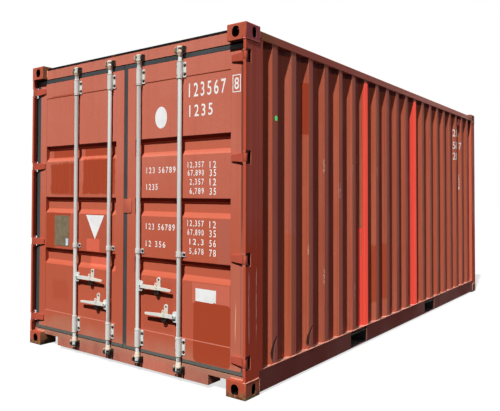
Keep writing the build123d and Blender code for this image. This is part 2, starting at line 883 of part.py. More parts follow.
def write_parts():
    """Write every sub-part."""
    os.makedirs("parts", exist_ok=True)
    top, bottom = castings()
    save("top_corner_castings", *top)
    save("bottom_corner_castings", *bottom)
    right = rear_post()
    save("rear_corner_posts", right, left_of(right))
    right = front_post()
    save("front_corner_posts", right, left_of(right))
    right_lugs = hinge_lugs()
    save("hinge_lugs", *right_lugs, *[left_of(lug) for lug in right_lugs])
    right_pins = hinge_pins()
    save("hinge_pins", *right_pins, *[left_of(pin) for pin in right_pins])
    save("door_header", header())
    save("door_sill", sill())
    save("cam_keepers", *keepers())
    rail = top_side_rail()
    save("top_side_rails", rail, left_of(rail))
    rail = bottom_side_rail()
    save("bottom_side_rails", rail, left_of(rail))
    front_top, front_bottom = front_rails()
    save("front_top_rail", front_top)
    save("front_bottom_rail", front_bottom)
    wall = side_wall()
    save("right_side_wall", wall)
    save("left_side_wall", left_of(wall))
    save("front_wall", front_wall())
    save("roof_sheet", *roof())
    save("roof_corner_plates", *roof_corner_plates())
    save("floor_boards", *floor())
    save("cross_members", *cross_members())
    save("fork_pocket_plates", *pocket_plates())
    hood = vent()
    save("side_vents", hood, left_of(hood))

    frame = leaf_frame()
    panel = leaf_panel()
    blades = hinge_blades()
    rods = rod_places()
    save("right_door_frame", frame)
    save("right_door_panel", panel)
    save("right_door_gasket", gasket_ring(-overlap_plate_left))
    save("right_hinge_blades", *blades)
    save("left_door_frame", left_of(frame))
    save("left_door_panel", left_of(panel))
    save("left_door_gasket", left_of(gasket_ring(leaf_inner_edge)))
    save("left_hinge_blades", *[left_of(blade) for blade in blades])
    for side, places in (("left", rods[:2]), ("right", rods[2:])):
        save(f"{side}_rod_guides", *guides(places))
        holders = [retainer(x + way * hold, level) for name, x, way, level, reach, hold in places]
        save(f"{side}_handle_retainers", *holders)
    data_plate, overlap_plate = door_plates()
    save("data_plate", data_plate)
    save("overlap_plate", overlap_plate)
    for name, x, way, level, reach, hold in rods:
        save(f"{name}_lock_rod", lock_rod(x, way, level))
        save(f"{name}_handle", handle(x, way, level, reach, hold))


write_parts()
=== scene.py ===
import math
import random

import bpy
from mathutils import Matrix, Vector


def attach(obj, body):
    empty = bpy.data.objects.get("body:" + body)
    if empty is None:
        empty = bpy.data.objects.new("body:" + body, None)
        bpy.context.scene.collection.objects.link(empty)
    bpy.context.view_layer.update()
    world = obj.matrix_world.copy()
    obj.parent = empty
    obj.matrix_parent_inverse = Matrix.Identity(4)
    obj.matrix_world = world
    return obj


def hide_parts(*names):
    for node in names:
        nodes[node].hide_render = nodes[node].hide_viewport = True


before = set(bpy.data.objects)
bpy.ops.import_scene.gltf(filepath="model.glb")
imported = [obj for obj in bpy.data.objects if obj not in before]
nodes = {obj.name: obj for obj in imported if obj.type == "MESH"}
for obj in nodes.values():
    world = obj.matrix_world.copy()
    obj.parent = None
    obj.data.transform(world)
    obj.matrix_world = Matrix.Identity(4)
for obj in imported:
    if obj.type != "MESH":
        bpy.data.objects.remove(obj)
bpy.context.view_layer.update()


# The view: the container is seen from its door end and its right side, from 1.4 m above the
# ground. A high sun stands in front of the doors, over pale ground and under a sky that is
# brighter on the right and behind the container than over its doors.
view_azimuth = math.radians(39.45)
view_elevation = math.radians(-1.32)
view_roll = math.radians(0.27)
view_place = (3.441, -6.328, 1.395)
view_lens = 41.897
view_shift = (0.12, -0.0482)
sun_from = Vector((0.115, -0.605, 0.788))
sun_strength = 5.0
sun_size = math.radians(1.2)
sky_tone = (0.022, 0.023, 0.026)
sky_side = (0.38, 0.37, 0.4)
full_white = (1, 1, 1)
ground_tone = (0.022, 0.021, 0.02)
ground_pale = (0.81, 0.81, 0.81)
ground_glow = 0.72
ground_reach = 60


class Signal:
    """A socket in a finish. Sums on it add Math nodes, and node() adds any other node."""

    def __init__(self, tree, socket=None):
        self.tree = tree
        self.socket = socket

    def node(self, kind, settings=None, inputs=None, output=0):
        made = self.tree.nodes.new("ShaderNode" + kind)
        for name, value in (settings or {}).items():
            setattr(made, name, value)
        for name, value in (inputs or {}).items():
            if isinstance(value, Signal):
                self.tree.links.new(value.socket, made.inputs[name])
            else:
                socket = made.inputs[name]
                socket.default_value = (*value, 1) if socket.type == "RGBA" else value
        return Signal(self.tree, made.outputs[output])

    def maths(self, operation, first, second=0.0):
        settings = {"operation": operation}
        return self.node("Math", settings, {0: first, 1: second})

    def __add__(self, other):
        return self.maths("ADD", self, other)

    __radd__ = __add__

    def __sub__(self, other):
        return self.maths("SUBTRACT", self, other)

    def __rsub__(self, other):
        return self.maths("SUBTRACT", other, self)

    def __mul__(self, other):
        return self.maths("MULTIPLY", self, other)

    __rmul__ = __mul__

    def __truediv__(self, other):
        return self.maths("DIVIDE", self, other)

    def __rtruediv__(self, other):
        return self.maths("DIVIDE", other, self)

    def __abs__(self):
        return self.maths("ABSOLUTE", self)

    def least(self, other):
        return self.maths("MINIMUM", self, other)

    def most(self, other):
        return self.maths("MAXIMUM", self, other)

    def into(self, shader, name):
        self.tree.links.new(self.socket, shader.inputs[name])


def mixed(share, under, over):
    """One colour laid over another by a share from 0 to 1."""
    return share.node("Mix", {"data_type": "RGBA"}, {0: share, 6: under, 7: over}, 2)


def ramped(value, low, high):
    """0 below low, 1 above high and a smooth rise between them."""
    settings = {"interpolation_type": "SMOOTHSTEP"}
    return value.node("MapRange", settings, {0: value, 1: low, 2: high})


def added(name, data):
    """A new object in the scene."""
    made = bpy.data.objects.new(name, data)
    bpy.context.scene.collection.objects.link(made)
    return made


def seen_plainly(start):
    """1 for what the camera sees, straight or in a reflection, and 0 for what lights the steel."""
    rays = [start.node("LightPath", output=index) for index in (0, 3, 6)]
    return rays[0].most(rays[1]).most(rays[2])


camera = added("camera", bpy.data.cameras.new("camera"))
camera.data.sensor_width = 36
camera.data.lens = view_lens
camera.data.shift_x, camera.data.shift_y = view_shift
camera.matrix_world = (
    Matrix.Translation(view_place)
    @ Matrix.Rotation(view_azimuth, 4, "Z")
    @ Matrix.Rotation(math.pi / 2 - view_elevation, 4, "X")
    @ Matrix.Rotation(view_roll, 4, "Z")
)
bpy.context.scene.camera = camera

sun = added("sun", bpy.data.lights.new("sun", "SUN"))
sun.data.energy = sun_strength
sun.data.angle = sun_size
sun.rotation_euler = sun_from.to_track_quat("Z", "Y").to_euler()

sky = bpy.data.worlds.new("sky")
sky.use_nodes = True
bpy.context.scene.world = sky
start = Signal(sky.node_tree)
toward = start.node("TexCoord", output=0)
right, behind = [start.node("SeparateXYZ", None, {0: toward}, axis) for axis in (0, 1)]
share = ramped((right + behind * 0.7).most(behind * 1.1), 0.2, 1.0)
sky_colour = mixed(seen_plainly(start), mixed(share, sky_tone, sky_side), full_white)
sky_colour.into(sky.node_tree.nodes["Background"], "Color")

ground_finish = bpy.data.materials.new("pale_ground")
ground_finish.use_nodes = True
start = Signal(ground_finish.node_tree)
dim = start.node("BsdfDiffuse", None, {"Color": ground_tone})
lit = start.node("BsdfDiffuse", None, {"Color": ground_pale})
glow = start.node("Emission", None, {"Color": full_white})
pale = start.node("MixShader", None, {0: ground_glow, 1: lit, 2: glow})
whole = start.node("MixShader", None, {0: seen_plainly(start), 1: dim, 2: pale})
whole.into(ground_finish.node_tree.nodes["Material Output"], "Surface")

corners = [(x * ground_reach, y * ground_reach, 0) for x, y in ((-1, -1), (1, -1), (1, 1), (-1, 1))]
ground_mesh = bpy.data.meshes.new("ground")
ground_mesh.from_pydata(corners, [], [(0, 1, 2, 3)])
ground_mesh.materials.append(ground_finish)
ground = added("ground", ground_mesh)

bpy.context.scene.view_settings.view_transform = "Standard"


# Corner castings: eight hollow blocks of cast steel that lift, stack and lock the container.
# They are welded to the posts and rails and painted with the frame. The lower ones are worn
# down to rust where they stand on the ground.
frame_red = (0.5, 0.12, 0.07)
frame_faded = (0.58, 0.18, 0.12)
frame_shade = (0.3, 0.07, 0.05)
casting_red = (0.47, 0.08, 0.04)
casting_faded = (0.54, 0.118, 0.07)
casting_flank = (0.4, 0.09, 0.11)
casting_brown = (0.36, 0.095, 0.055)
casting_dirt = (0.3, 0.165, 0.075)
casting_khaki = (0.24, 0.155, 0.07)
# shade_black is painted shade: a near black laid where openings, undersides, creases and cast shadows fall
# dark.
shade_black = (0.012, 0.008, 0.007)
rust_dark = (0.1, 0.035, 0.015)
rust_light = (0.3, 0.13, 0.055)
casting_top = 2.591
casting_high = 0.118
relief_depth = 0.0012


def here(start):
    """The place on the object at rest, in metres, as one vector and as X, Y and Z."""
    place = start.node("TexCoord", output=3)
    return [place] + [place.node("SeparateXYZ", None, {0: place}, axis) for axis in range(3)]


def new_finish(name, metallic=0.0, specular=0.04):
    """A finish: its material, its shader and the place on the object, as here() gives it."""
    made = bpy.data.materials.new(name)
    made.use_nodes = True
    shader = made.node_tree.nodes["Principled BSDF"]
    shader.inputs["Metallic"].default_value = metallic
    shader.inputs["Specular IOR Level"].default_value = specular
    return [made, shader] + here(Signal(made.node_tree))


def cloudy(place, scale, detail=4.0, rough=0.55):
    """Soft noise from 0 to 1, by its patches to a metre, or to a metre of X, of Y and of Z."""
    if isinstance(scale, tuple):
        place = place.node("VectorMath", {"operation": "MULTIPLY"}, {0: place, 1: scale})
        scale = 1
    inputs = {"Vector": place, "Scale": scale, "Detail": detail, "Roughness": rough}
    return place.node("TexNoise", None, inputs)


def patchy(place, scale, detail, low, high, rough=0.55):
    """Patches of noise: 0 where it is below low, and 1 where it is above high."""
    return ramped(cloudy(place, scale, detail, rough), low, high)


def wander(place, scale, detail, reach):
    """Noise on both sides of 0, in metres, that lets an edge wander."""
    return (cloudy(place, scale, detail) - 0.5) * reach


def between(value, low, high, soft=0.001):
    """1 between two limits, fading out over a soft edge."""
    middle, half = (low + high) / 2, (high - low) / 2
    return 1 - ramped(abs(value - middle), half - soft / 2, half + soft / 2)


def layered(colour, *coats):
    """A colour under coats of paint, shade or dirt, each with the share that it covers."""
    for share, coat in coats:
        colour = mixed(share, colour, coat)
    return colour


def laid_on(shader, colour, rough, height, depth):
    """A colour, a roughness and a relief of a depth in metres on a shader."""
    colour.into(shader, "Base Color")
    rough.into(shader, "Roughness")
    height.node("Bump", None, {"Height": height, "Distance": depth}).into(shader, "Normal")


def old_paint(name, paint, faded, grime, streak=0.35, rust=0.3, dents=0.0, touches=None):
    """Sun-bleached paint on steel: clouds of fading, grime run down by rain, scuffs and rust."""
    made, shader, place, x, y, z = new_finish(name)
    clouds = patchy(place, 1.3, 6, 0.36, 0.68, 0.62)
    grain = cloudy(place, 55, 3, 0.7)
    runs = patchy(place, (24, 24, 0.7), 4, 0.5, 0.78)
    bleached = patchy(place, (25.5, 25.5, 1.87), 3, 0.58, 0.82)
    colour = layered(
        mixed(clouds, paint, faded), (ramped(grain, 0.35, 0.8) * 0.25, grime),
        (runs * streak, grime), (bleached * (streak * 0.6), faded),
    )
    if touches:
        colour = touches(colour, place, x, y, z)
    lines = 1 - ramped(abs(cloudy(place, (60, 60, 2.5), 2, 0.4) - 0.5), 0.002, 0.009)
    scraped = lines * patchy(place, 3.1, 3, 0.6, 0.72)
    specks = patchy(place, 21, 5, 0.7 - rust * 0.1, 0.8, 0.72) * patchy(place, 2.3, 3, 0.45, 0.7)
    colour = layered(colour, (scraped * 0.55, faded), (specks * (rust * 1.6), rust_dark))
    relief = grain * 0.12 + specks * 0.5
    if dents:
        relief = relief + cloudy(place, 2.2, 2, 0.4) * dents
    laid_on(shader, colour, 0.5 + 0.22 * clouds + 0.2 * specks, relief, relief_depth)
    return made


def soften(node, width, finish, angle=32):
    """A CAD node as it is, with its sharp corners eased by a small round, and a finish."""
    piece = nodes[node]
    weld = piece.modifiers.new("weld", "WELD")
    weld.merge_threshold = 0.00002
    if width:
        flat = piece.modifiers.new("flat", "DECIMATE")
        flat.decimate_type = "DISSOLVE"
        flat.angle_limit = math.radians(0.6)
        ease = piece.modifiers.new("ease", "BEVEL")
        ease.width = width
        ease.segments = 2
        ease.limit_method = "ANGLE"
        ease.angle_limit = math.radians(angle)
        ease.harden_normals = True
    piece.data.materials.clear()
    piece.data.materials.append(finish)


def worn_corners(colour, place, x, y, z):
    """Shaded flanks, painted shade that blackens the openings inside the castings and the underside edge of
    the upper ones, and rust and dust on what is low or touches the ground.
    """
    flank = ramped(abs(x), 1.2155, 1.2175)
    flank_tone = mixed(ramped(z, 1.0, 1.1), casting_brown, casting_flank)
    far = ramped(y, 2.8, 2.84) * patchy(place, 11, 4, 0.34, 0.5)
    inward = between(x, -1.0585, -1.0555)
    ragged = z + cloudy(place, 17, 4) * 0.06
    low = 1 - ramped(ragged, 0.035, 0.085)
    dusty = (1 - ramped(ragged, 0.05, 0.1)) * patchy(place, 28, 4, 0.42, 0.58)
    lips = patchy(place, 9, 5, 0.56, 0.66, 0.7) * ramped(z, 2.46, 2.48)
    # Painted shade: the insides of the castings' openings and the underside edge of the upper castings are
    # painted black.
    levels = between(z, 2.4825, 2.5685).most(between(z, 0.0225, 0.1085))
    across = between(abs(x), 1.066, 1.2172) * between(abs(y), 2.86, 3.0145)
    along = between(abs(x), 1.066, 1.2045) * between(abs(y), 2.86, 3.0272)
    seam = between(z, 2.472, 2.474, 0.0005)
    return layered(
        colour, (flank * 0.85, flank_tone), (far * 0.9, casting_dirt), (inward * 0.85, casting_dirt),
        (low * 0.8, rust_dark), (dusty * 0.8, casting_khaki), (lips * 0.35, rust_light),
        (across.most(along) * levels, shade_black), (seam * 0.9, shade_black),
    )


casting_finish = old_paint(
    "casting_paint", casting_red, casting_faded, rust_dark, 0.15, 0.5, touches=worn_corners)
soften("top_corner_castings", 0.003, casting_finish)
soften("bottom_corner_castings", 0.003, casting_finish)


# Corner posts: pressed and rolled steel sections that carry the load of the containers above.
# The two at the door end are open where the hinges sit, and all are welded to the castings
# with beads that catch the light. Beads also run along the feet of the walls' ribs.
post_flank = (0.5, 0.105, 0.075)
post_low = (0.5, 0.062, 0.028)
post_scrape = (0.8, 0.55, 0.46)
post_edge = (0.5, 0.078, 0.036)
post_return = (0.58, 0.13, 0.065)
post_maroon = (0.42, 0.052, 0.03)
bead_red = (0.7, 0.28, 0.2)
bead_pale = (0.78, 0.4, 0.32)
bead_shade = (0.33, 0.075, 0.07)
scrape_lines = ((-2.985, 0.37, 0.85, 0.0035), (-2.894, 0.4, 1.03, 0.0045))
bead_radius = 0.0055
bead_step = 0.009
bead_sides = 6
rib_pitch = 0.278
rib_centres = [(index - 9.5) * rib_pitch for index in range(20)]
rib_foot = ((1.178, -0.104), (1.2135, -0.036), (1.2135, 0.036), (1.178, 0.104), (1.178, 0.174))


def scraped_posts(colour, place, x, y, z):
    """Dark flanks with long pale scrapes low down, a clean bright edge to the doors, and painted shade on
    the stop plates under the upper castings.
    """
    flank = ramped(abs(x), 1.2155, 1.2158)
    lower = 1 - ramped(z + cloudy(place, 6, 3) * 0.2, 1.1, 1.35)
    tone = patchy(place, (1, 22, 0.15), 2, 0.42, 0.58)
    wavy = y + wander(place, (3, 3, 3.6), 3, 0.02)
    broken = patchy(place, (30, 30, 6), 4, 0.38, 0.5)
    scrapes = []
    for line, low, high, wide in scrape_lines:
        thin = between(wavy, line - wide, line + wide, 0.003) * between(z, low, high, 0.08)
        scrapes.append((thin * broken * flank * 0.75, post_scrape))
    edge = (1 - ramped(y, -3.0215, -3.0205)) * (1 - flank)
    # Painted shade: the stop plates under the upper castings are painted black, as the castings' shadow.
    behind = ramped(z, 2.37, 2.42) * ramped(y, -3.0, -2.99) * (1 - ramped(abs(x), 1.2094, 1.2106))
    far = between(y, 2.849, 2.858) * ramped(abs(x), 1.16, 1.17)
    return layered(
        colour, (flank * 0.9, mixed(lower, post_flank, post_low)), (tone * flank * 0.45, post_maroon),
        *scrapes, (edge * 0.85, post_edge), (behind * 0.95, shade_black), (far * 0.85, post_return),
    )


def shaded_beads(colour, place, x, y, z):
    """The beads under the upper castings are as dark as the flanks they lie on."""
    return mixed(ramped(z, 2.4, 2.42) * ramped(abs(x), 1.212, 1.215) * 0.9, colour, bead_shade)


def settle(name, vertices, faces, body, finish, slot, smooth=True):
    """A new piece from points and faces, riding on a body."""
    mesh = bpy.data.meshes.new(name)
    mesh.from_pydata([tuple(v) for v in vertices], [], faces)
    mesh.polygons.foreach_set("use_smooth", [smooth] * len(mesh.polygons))
    mesh.materials.append(finish)
    mesh.update()
    piece = added(name, mesh)
    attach(piece, body)
    return piece


def gathered(parts):
    """Several lots of points and faces as one."""
    vertices, faces = [], []
    for points, sides in parts:
        base = len(vertices)
        vertices.extend(points)
        faces.extend(tuple(index + base for index in side) for side in sides)
    return vertices, faces


def ring(centre, side, over, radius, count, turn=0.0):
    """Points on a circle whose plane two vectors give."""
    angles = [2 * math.pi * step / count + turn for step in range(count)]
    return [Vector(centre) + radius * (math.cos(a) * side + math.sin(a) * over) for a in angles]


def skin(vertices, sides, closed=True):
    """Points in rings as one skin, with a face over either end where it is closed."""
    faces = []
    for first in range(0, len(vertices) - sides, sides):
        for step in range(sides):
            a, b = first + step, first + (step + 1) % sides
            faces.append((a, b, b + sides, a + sides))
    if closed:
        faces.append(tuple(reversed(range(sides))))
        faces.append(tuple(range(len(vertices) - sides, len(vertices))))
    return vertices, faces


def tube(path, radii, sides, closed=True):
    """A round skin along a path, with a radius at each point of it."""
    vertices = []
    for index, point in enumerate(path):
        ahead = path[min(index + 1, len(path) - 1)] - path[max(index - 1, 0)]
        ahead.normalize()
        aside = Vector((0.31, 0.17, 0.94)) if abs(ahead.z) < 0.9 else Vector((0.94, 0.31, 0.17))
        side = ahead.cross(aside).normalized()
        vertices += ring(point, side, ahead.cross(side), radii[index], sides)
    return skin(vertices, sides, closed)


def bead(start, end, seed):
    """One straight weld bead with the ripple of its drops."""
    start, end = Vector(start), Vector(end)
    rng = random.Random(seed)
    count = max(2, round((end - start).length / bead_step))
    path, radii = [], []
    for index in range(count + 1):
        path.append(start.lerp(end, index / count))
        radii.append(bead_radius * (0.8 + 0.3 * (index % 2) + rng.uniform(-0.12, 0.12)))
    radii[0] = radii[-1] = bead_radius * 0.4
    return tube(path, radii, bead_sides)


post_finish = old_paint(
    "post_paint", frame_red, frame_faded, frame_shade, 0.35, 0.35, touches=scraped_posts)
soften("rear_corner_posts", 0.002, post_finish)
soften("front_corner_posts", 0.002, post_finish)

lines = []
for centre in rib_centres:
    foot = [(out, centre + along, 0.1675) for out, along in rib_foot]
    lines += zip(foot, foot[1:])
for level in (casting_high, casting_top - casting_high):
    lines += [
        ((1.216, -3.024, level), (1.216, -2.853, level)), ((1.193, -3.026, level), (1.216, -3.026, level)),
        ((1.216, 2.853, level), (1.216, 3.024, level)), ((1.06, 3.026, level), (1.214, 3.026, level)),
    ]
lines.append(((1.057, -2.979, 2.478), (1.057, -2.979, 2.558)))
lines.append(((1.06, -2.979, 0.118), (1.168, -2.979, 0.118)))
for x, y in ((1.216, -2.851), (1.216, 2.851), (1.057, 3.026)):
    lines += [((x, y, 0.02), (x, y, 0.116)), ((x, y, 2.502), (x, y, 2.558))]
lines = [[(side * x, y, z) for x, y, z in line] for side in (-1, 1) for line in lines]
beads = [bead(start, end, seed) for seed, (start, end) in enumerate(lines)]
bead_finish = old_paint("bead_paint", bead_red, bead_pale, frame_red, 0.2, 0.3, touches=shaded_beads)
settle("frame_weld_beads", *gathered(beads), "root", bead_finish, "frame_paint")


# Rails: square tubes along the top, channels along the bottom. The webs of the bottom rails are
# dark, the ledge of the bottom rail has been bleached by standing water, and the bottom flange
# inside the fork pockets is painted dark as painted shade.
rail_shade = (0.115, 0.024, 0.02)
rail_ledge = (0.42, 0.2, 0.14)
rail_pocket_shade = (0.018, 0.019, 0.028)
rail_edge = (0.15, 0.085, 0.065)
rail_near = (0.46, 0.115, 0.085)
rail_dusty = (0.78, 0.31, 0.25)
rail_rusty = (0.3, 0.12, 0.05)
rail_lip = (0.8, 0.38, 0.28)


def dirty_rails(colour, place, x, y, z):
    """A darker lower web, a pale ledge, a rusty lower edge, and painted shade on the bottom flange inside
    the fork pockets.
    """
    web = ramped(abs(x), 1.2155, 1.2158)
    low = 1 - ramped(z, 0.2, 0.24)
    high = web * (1 - low)
    along = mixed(ramped(y + cloudy(place, 2, 3), -1.5, 3.2), rail_near, rail_dusty)
    lip = between(z, 2.473, 2.483, 0.004) * patchy(place, (1, 3, 1), 3, 0.35, 0.55)
    ends = ramped(abs(y) + cloudy(place, 4, 4) * 0.5, 2.75, 3.05)
    ledge = ramped(z, 0.1664, 0.1668) * low
    edge = 1 - ramped(z + cloudy(place, 13, 4) * 0.02, 0.026, 0.036)
    # Painted shade: the bottom flange, seen only inside the fork pockets, is painted blue-black.
    sole = (1 - ramped(z, 0.022, 0.024)) * (1 - web)
    return layered(
        colour, (web * low * 0.94, rail_shade), (high * 0.9, along), (web * lip * 0.5, rail_lip),
        (high * ends * 0.8, rail_rusty), (ledge * 0.92, rail_ledge), (edge * 0.5, rail_edge),
        (sole, rail_pocket_shade),
    )


rail_finish = old_paint(
    "rail_paint", frame_red, frame_faded, rail_shade, 0.35, 0.4, touches=dirty_rails)
for node in ("top_side_rails", "bottom_side_rails", "front_top_rail", "front_bottom_rail"):
    soften(node, 0.002, rail_finish)


# Side walls: steel sheets pressed into upright ribs and welded to the rails. The ribs' faces
# are dull and dark, the slopes keep more of their red, and the hollows and the band under the
# top rail carry painted shade. Two ribs on the right have been rolled over with bright paint,
# which glows as painted light and stops at the top rail's shadow. Two dents at the feet of
# ribs are painted on, as a painted shade in each crease with a painted highlight beside it.
wall_red = (0.6, 0.132, 0.064)
wall_faded = (0.63, 0.16, 0.09)
wall_dull = (0.55, 0.165, 0.105)
wall_maroon = (0.46, 0.13, 0.12)
hollow_shade_and_streaks = (0.3, 0.06, 0.045)
wall_top_shade = (0.05, 0.006, 0.012)
wall_grime = (0.3, 0.07, 0.045)
wall_deep = (0.42, 0.055, 0.022)
wall_brown = (0.47, 0.073, 0.03)
wall_orange = (0.62, 0.14, 0.05)
wall_pink = (0.62, 0.21, 0.16)
bright_red = (0.92, 0.086, 0.054)
bright_glow = (0.43, 0.042, 0.028)
dot_green = (0.1, 0.85, 0.22)
dot_glow = (0.02, 0.36, 0.08)
no_glow = (0, 0, 0)
dent_lit = (0.8, 0.3, 0.24)
scuff_pale = (0.86, 0.5, 0.4)
dents = ((-2.672, 15.5, 0.372), (-2.126, 23.0, 0.352))
dot_across, dot_level = -2.622, 1.962
slope_start, slope_end = 0.104, 0.036
scuffs = (
    (-1.845, 1.64, 0.01, 0.05), (-1.549, 1.434, 0.02, 0.06), (-1.275, 1.64, 0.008, 0.04),
    (-1.1, 1.734, 0.008, 0.03), (-0.7, 1.635, 0.008, 0.04), (-2.12, 0.95, 0.006, 0.05),
    (-1.845, 0.72, 0.006, 0.06), (-1.245, 0.52, 0.01, 0.06),
)


def pressed_wall(colour, place, x, y, z):
    """Painted shade in the hollows and under the top rail, dull rib faces, dark streaks, and ribs that
    differ in tone.
    """
    out = ramped(abs(x), 1.2085, 1.2112)
    count = y / rib_pitch + 20
    phase = count.maths("FRACT", count)
    # Painted shade: the hollows and the slopes that face away from the doors are darkened, and the band
    # under the top rail darker still.
    hidden = ramped(phase, 0.63, 0.65).most(1 - ramped(phase, 0.09, 0.125))
    under_rail = hidden.most(1 - out) * ramped(z, 2.448, 2.466)
    tone = ramped(phase + wander(place, (1, 24, 0.2), 2, 0.25), 0.49, 0.53)
    lines = patchy(place, (1, 34, 0.12), 2, 0.5, 0.62)
    rib_tone = patchy(place, (0.1, 1 / rib_pitch, 0.06), 1, 0.42, 0.62)
    return layered(
        colour, (hidden * 0.8, hollow_shade_and_streaks), (under_rail * 0.9, wall_top_shade),
        (out * 0.8, mixed(tone, wall_dull, wall_maroon)), (lines * 0.28, hollow_shade_and_streaks),
        (rib_tone * 0.2, wall_grime),
    )


def rolled_ribs(place, x, y, z):
    """Where the two ribs have been rolled over: the seventh in part, the twelfth in full, cut off where the
    top rail's shadow falls, as a painted shadow edge.
    """
    ragged = y + wander(place, (1, 1, 14), 3, 0.008)
    height = z + wander(place, (1, 30, 1), 3, 0.03)
    seventh, twelfth = rib_centres[6], rib_centres[11]
    face = between(ragged, seventh - 0.058, seventh + 0.038, 0.003)
    slope = between(ragged, seventh - 0.106, seventh - 0.045, 0.003) * (1 - ramped(height, 1.085, 1.09))
    missed = between(ragged, seventh - 0.079, seventh - 0.071, 0.003) * between(height, 0.82, 1.05, 0.02)
    whole = between(ragged, twelfth - 0.104, twelfth + 0.038, 0.003)
    # Painted shadow: the bright paint and its glow stop at the line of the top rail's shadow.
    in_cast_shadow = ramped(height + 6.85 * (1.216 - x), 2.49, 2.505)
    return face.most(slope - missed).most(whole) * (1 - in_cast_shadow) * ramped(x, 1.165, 1.17)


def green_dot(x, y, z):
    """A round sticker on the first rib."""
    across, up = y - dot_across, z - dot_level
    return (1 - ramped(across * across + up * up, 0.018 ** 2, 0.02 ** 2)) * ramped(x, 1.165, 1.17)


def on_slope(y, index, low, high, z, soft):
    """The slope of a rib that faces the doors, between two heights."""
    centre = rib_centres[index]
    return between(y, centre - slope_start, centre - slope_end, 0.004) * between(z, low, high, soft)


def photo_wall(colour, place, x, y, z):
    """The right wall's own marks over the common ones."""
    height = z + wander(place, 22, 4, 0.05)
    second = between(y, rib_centres[1] - slope_start, rib_centres[1] + slope_end, 0.01)
    second_tone = mixed(ramped(height, 1.09, 1.11), wall_orange, wall_pink)
    coats = [(on_slope(y, 2, 1.882, 2.296, z, 0.006) * 0.92, wall_deep)]
    coats += [(on_slope(y, index, 0.35, 0.91, height, 0.03) * 0.85, wall_brown) for index in (7, 8)]
    coats.append((second * 0.22, second_tone))
    outside = ramped(x, 1.19, 1.2)
    rise = (z - 0.2).most(0.0)
    # Painted shade and highlight: each dent is drawn, not pressed in, as a black crease with a lit strip
    # beside it.
    for edge, steep, high in dents:
        line = y - edge - rise * rise * rise * steep
        wide = 0.012 * between(z, high - 0.15, high - 0.01, 0.08) + wander(place, 40, 3, 0.012)
        crease_shade = (1 - ramped(abs(line) - wide, 0.002, 0.009)) * between(z, 0.2, high, 0.03)
        lit = between(line, 0.012, 0.026, 0.006) * between(z, 0.2, high - 0.02, 0.05)
        coats += [(crease_shade * outside * 0.9, shade_black), (lit * outside * 0.5, dent_lit)]
    ragged = y + wander(place, 31, 3, 0.03)
    broken = patchy(place, 44, 3, 0.42, 0.56)
    for across, level, wide, high in scuffs:
        spot = between(ragged, across - wide, across + wide, 0.008)
        spot = spot * between(z, level - high, level + high, 0.05) * broken
        coats.append((spot * 0.6, scuff_pale))
    coats += [(rolled_ribs(place, x, y, z), bright_red), (green_dot(x, y, z), dot_green)]
    return layered(pressed_wall(colour, place, x, y, z), *coats)


def painted_glow(finish):
    """Painted light: the rollers' paint and the sticker glow, more on the rib faces than on the slopes."""
    shader = finish.node_tree.nodes["Principled BSDF"]
    shader.inputs["Emission Strength"].default_value = 1.0
    place, x, y, z = here(Signal(finish.node_tree))
    out = 0.25 + 0.75 * ramped(x, 1.2085, 1.2112)
    glow = mixed(rolled_ribs(place, x, y, z) * out, no_glow, bright_glow)
    mixed(green_dot(x, y, z), glow, dot_glow).into(shader, "Emission Color")


wall_paint = (wall_red, wall_faded, wall_grime)
right_wall_finish = old_paint("right_wall_paint", *wall_paint, 0.4, 0.25, 1.5, photo_wall)
wall_finish = old_paint("wall_paint", *wall_paint, 0.4, 0.25, 1.5, pressed_wall)
painted_glow(right_wall_finish)
soften("right_side_wall", 0, right_wall_finish)
soften("left_side_wall", 0, wall_finish)


# Front wall, roof and vents: the front wall has deeper ribs, and the roof is stamped with
# cross ridges that keep it stiff. Rain leaves dust in the low places of the roof.
road_dust = (0.36, 0.24, 0.15)


def level_top(colour, place, x, y, z):
    """Rain dust and bleaching between the roof's ridges, and worn ridges."""
    low = (1 - ramped(z, 2.564, 2.572)) * patchy(place, 3.5, 5, 0.4, 0.66)
    high = ramped(z, 2.579, 2.582) * patchy(place, 5, 4, 0.45, 0.6)
    return layered(colour, (low * 0.5, road_dust), (high * 0.5, frame_faded))


front_finish = old_paint("front_wall_paint", *wall_paint, 0.5, 0.3, 1.5)
roof_finish = old_paint("roof_paint", *wall_paint, 0.1, 0.6, 2.0, level_top)
soften("front_wall", 0, front_finish)
soften("roof_sheet", 0, roof_finish)
soften("roof_corner_plates", 0.001, roof_finish)
soften("side_vents", 0.001, wall_finish)


# Floor and underframe: plywood boards on steel channels, which are sprayed black underneath.
# The fork pockets have a plate over them and straps under their mouths.
floor_pale = (0.36, 0.21, 0.11)
floor_dark = (0.19, 0.1, 0.05)
floor_worn = (0.16, 0.13, 0.1)
under_black = (0.022, 0.022, 0.024)
under_dust = (0.12, 0.09, 0.065)

wood, shader, place, x, y, z = new_finish("plywood", 0, 0.4)
grain = cloudy(place, (42, 2.2, 30), 5, 0.65)
wear = patchy(place, 2.6, 5, 0.4, 0.7, 0.6)
colour = mixed(wear * 0.5, mixed(ramped(grain, 0.3, 0.75), floor_dark, floor_pale), floor_worn)
laid_on(shader, colour, 0.42 + 0.3 * wear, grain, 0.0008)
soften("floor_boards", 0.0015, wood)

under, shader, place, x, y, z = new_finish("black_coat", 0, 0.3)
dust = patchy(place, 6, 5, 0.42, 0.7, 0.65)
colour = mixed(dust * 0.6, under_black, under_dust)
laid_on(shader, colour, 0.55 + 0.35 * dust, cloudy(place, 90, 3), 0.0015)
soften("cross_members", 0.001, under)
soften("fork_pocket_plates", 0.001, under)


# Door header and sill: box beams over and under the doors. The header ends at the roof in a
# line of sealant painted black as a painted shadow gap, and the sill is dusty with a worn upper edge.
header_red = (0.6, 0.19, 0.135)
sill_red = (0.43, 0.165, 0.115)
sill_dust = (0.4, 0.24, 0.155)


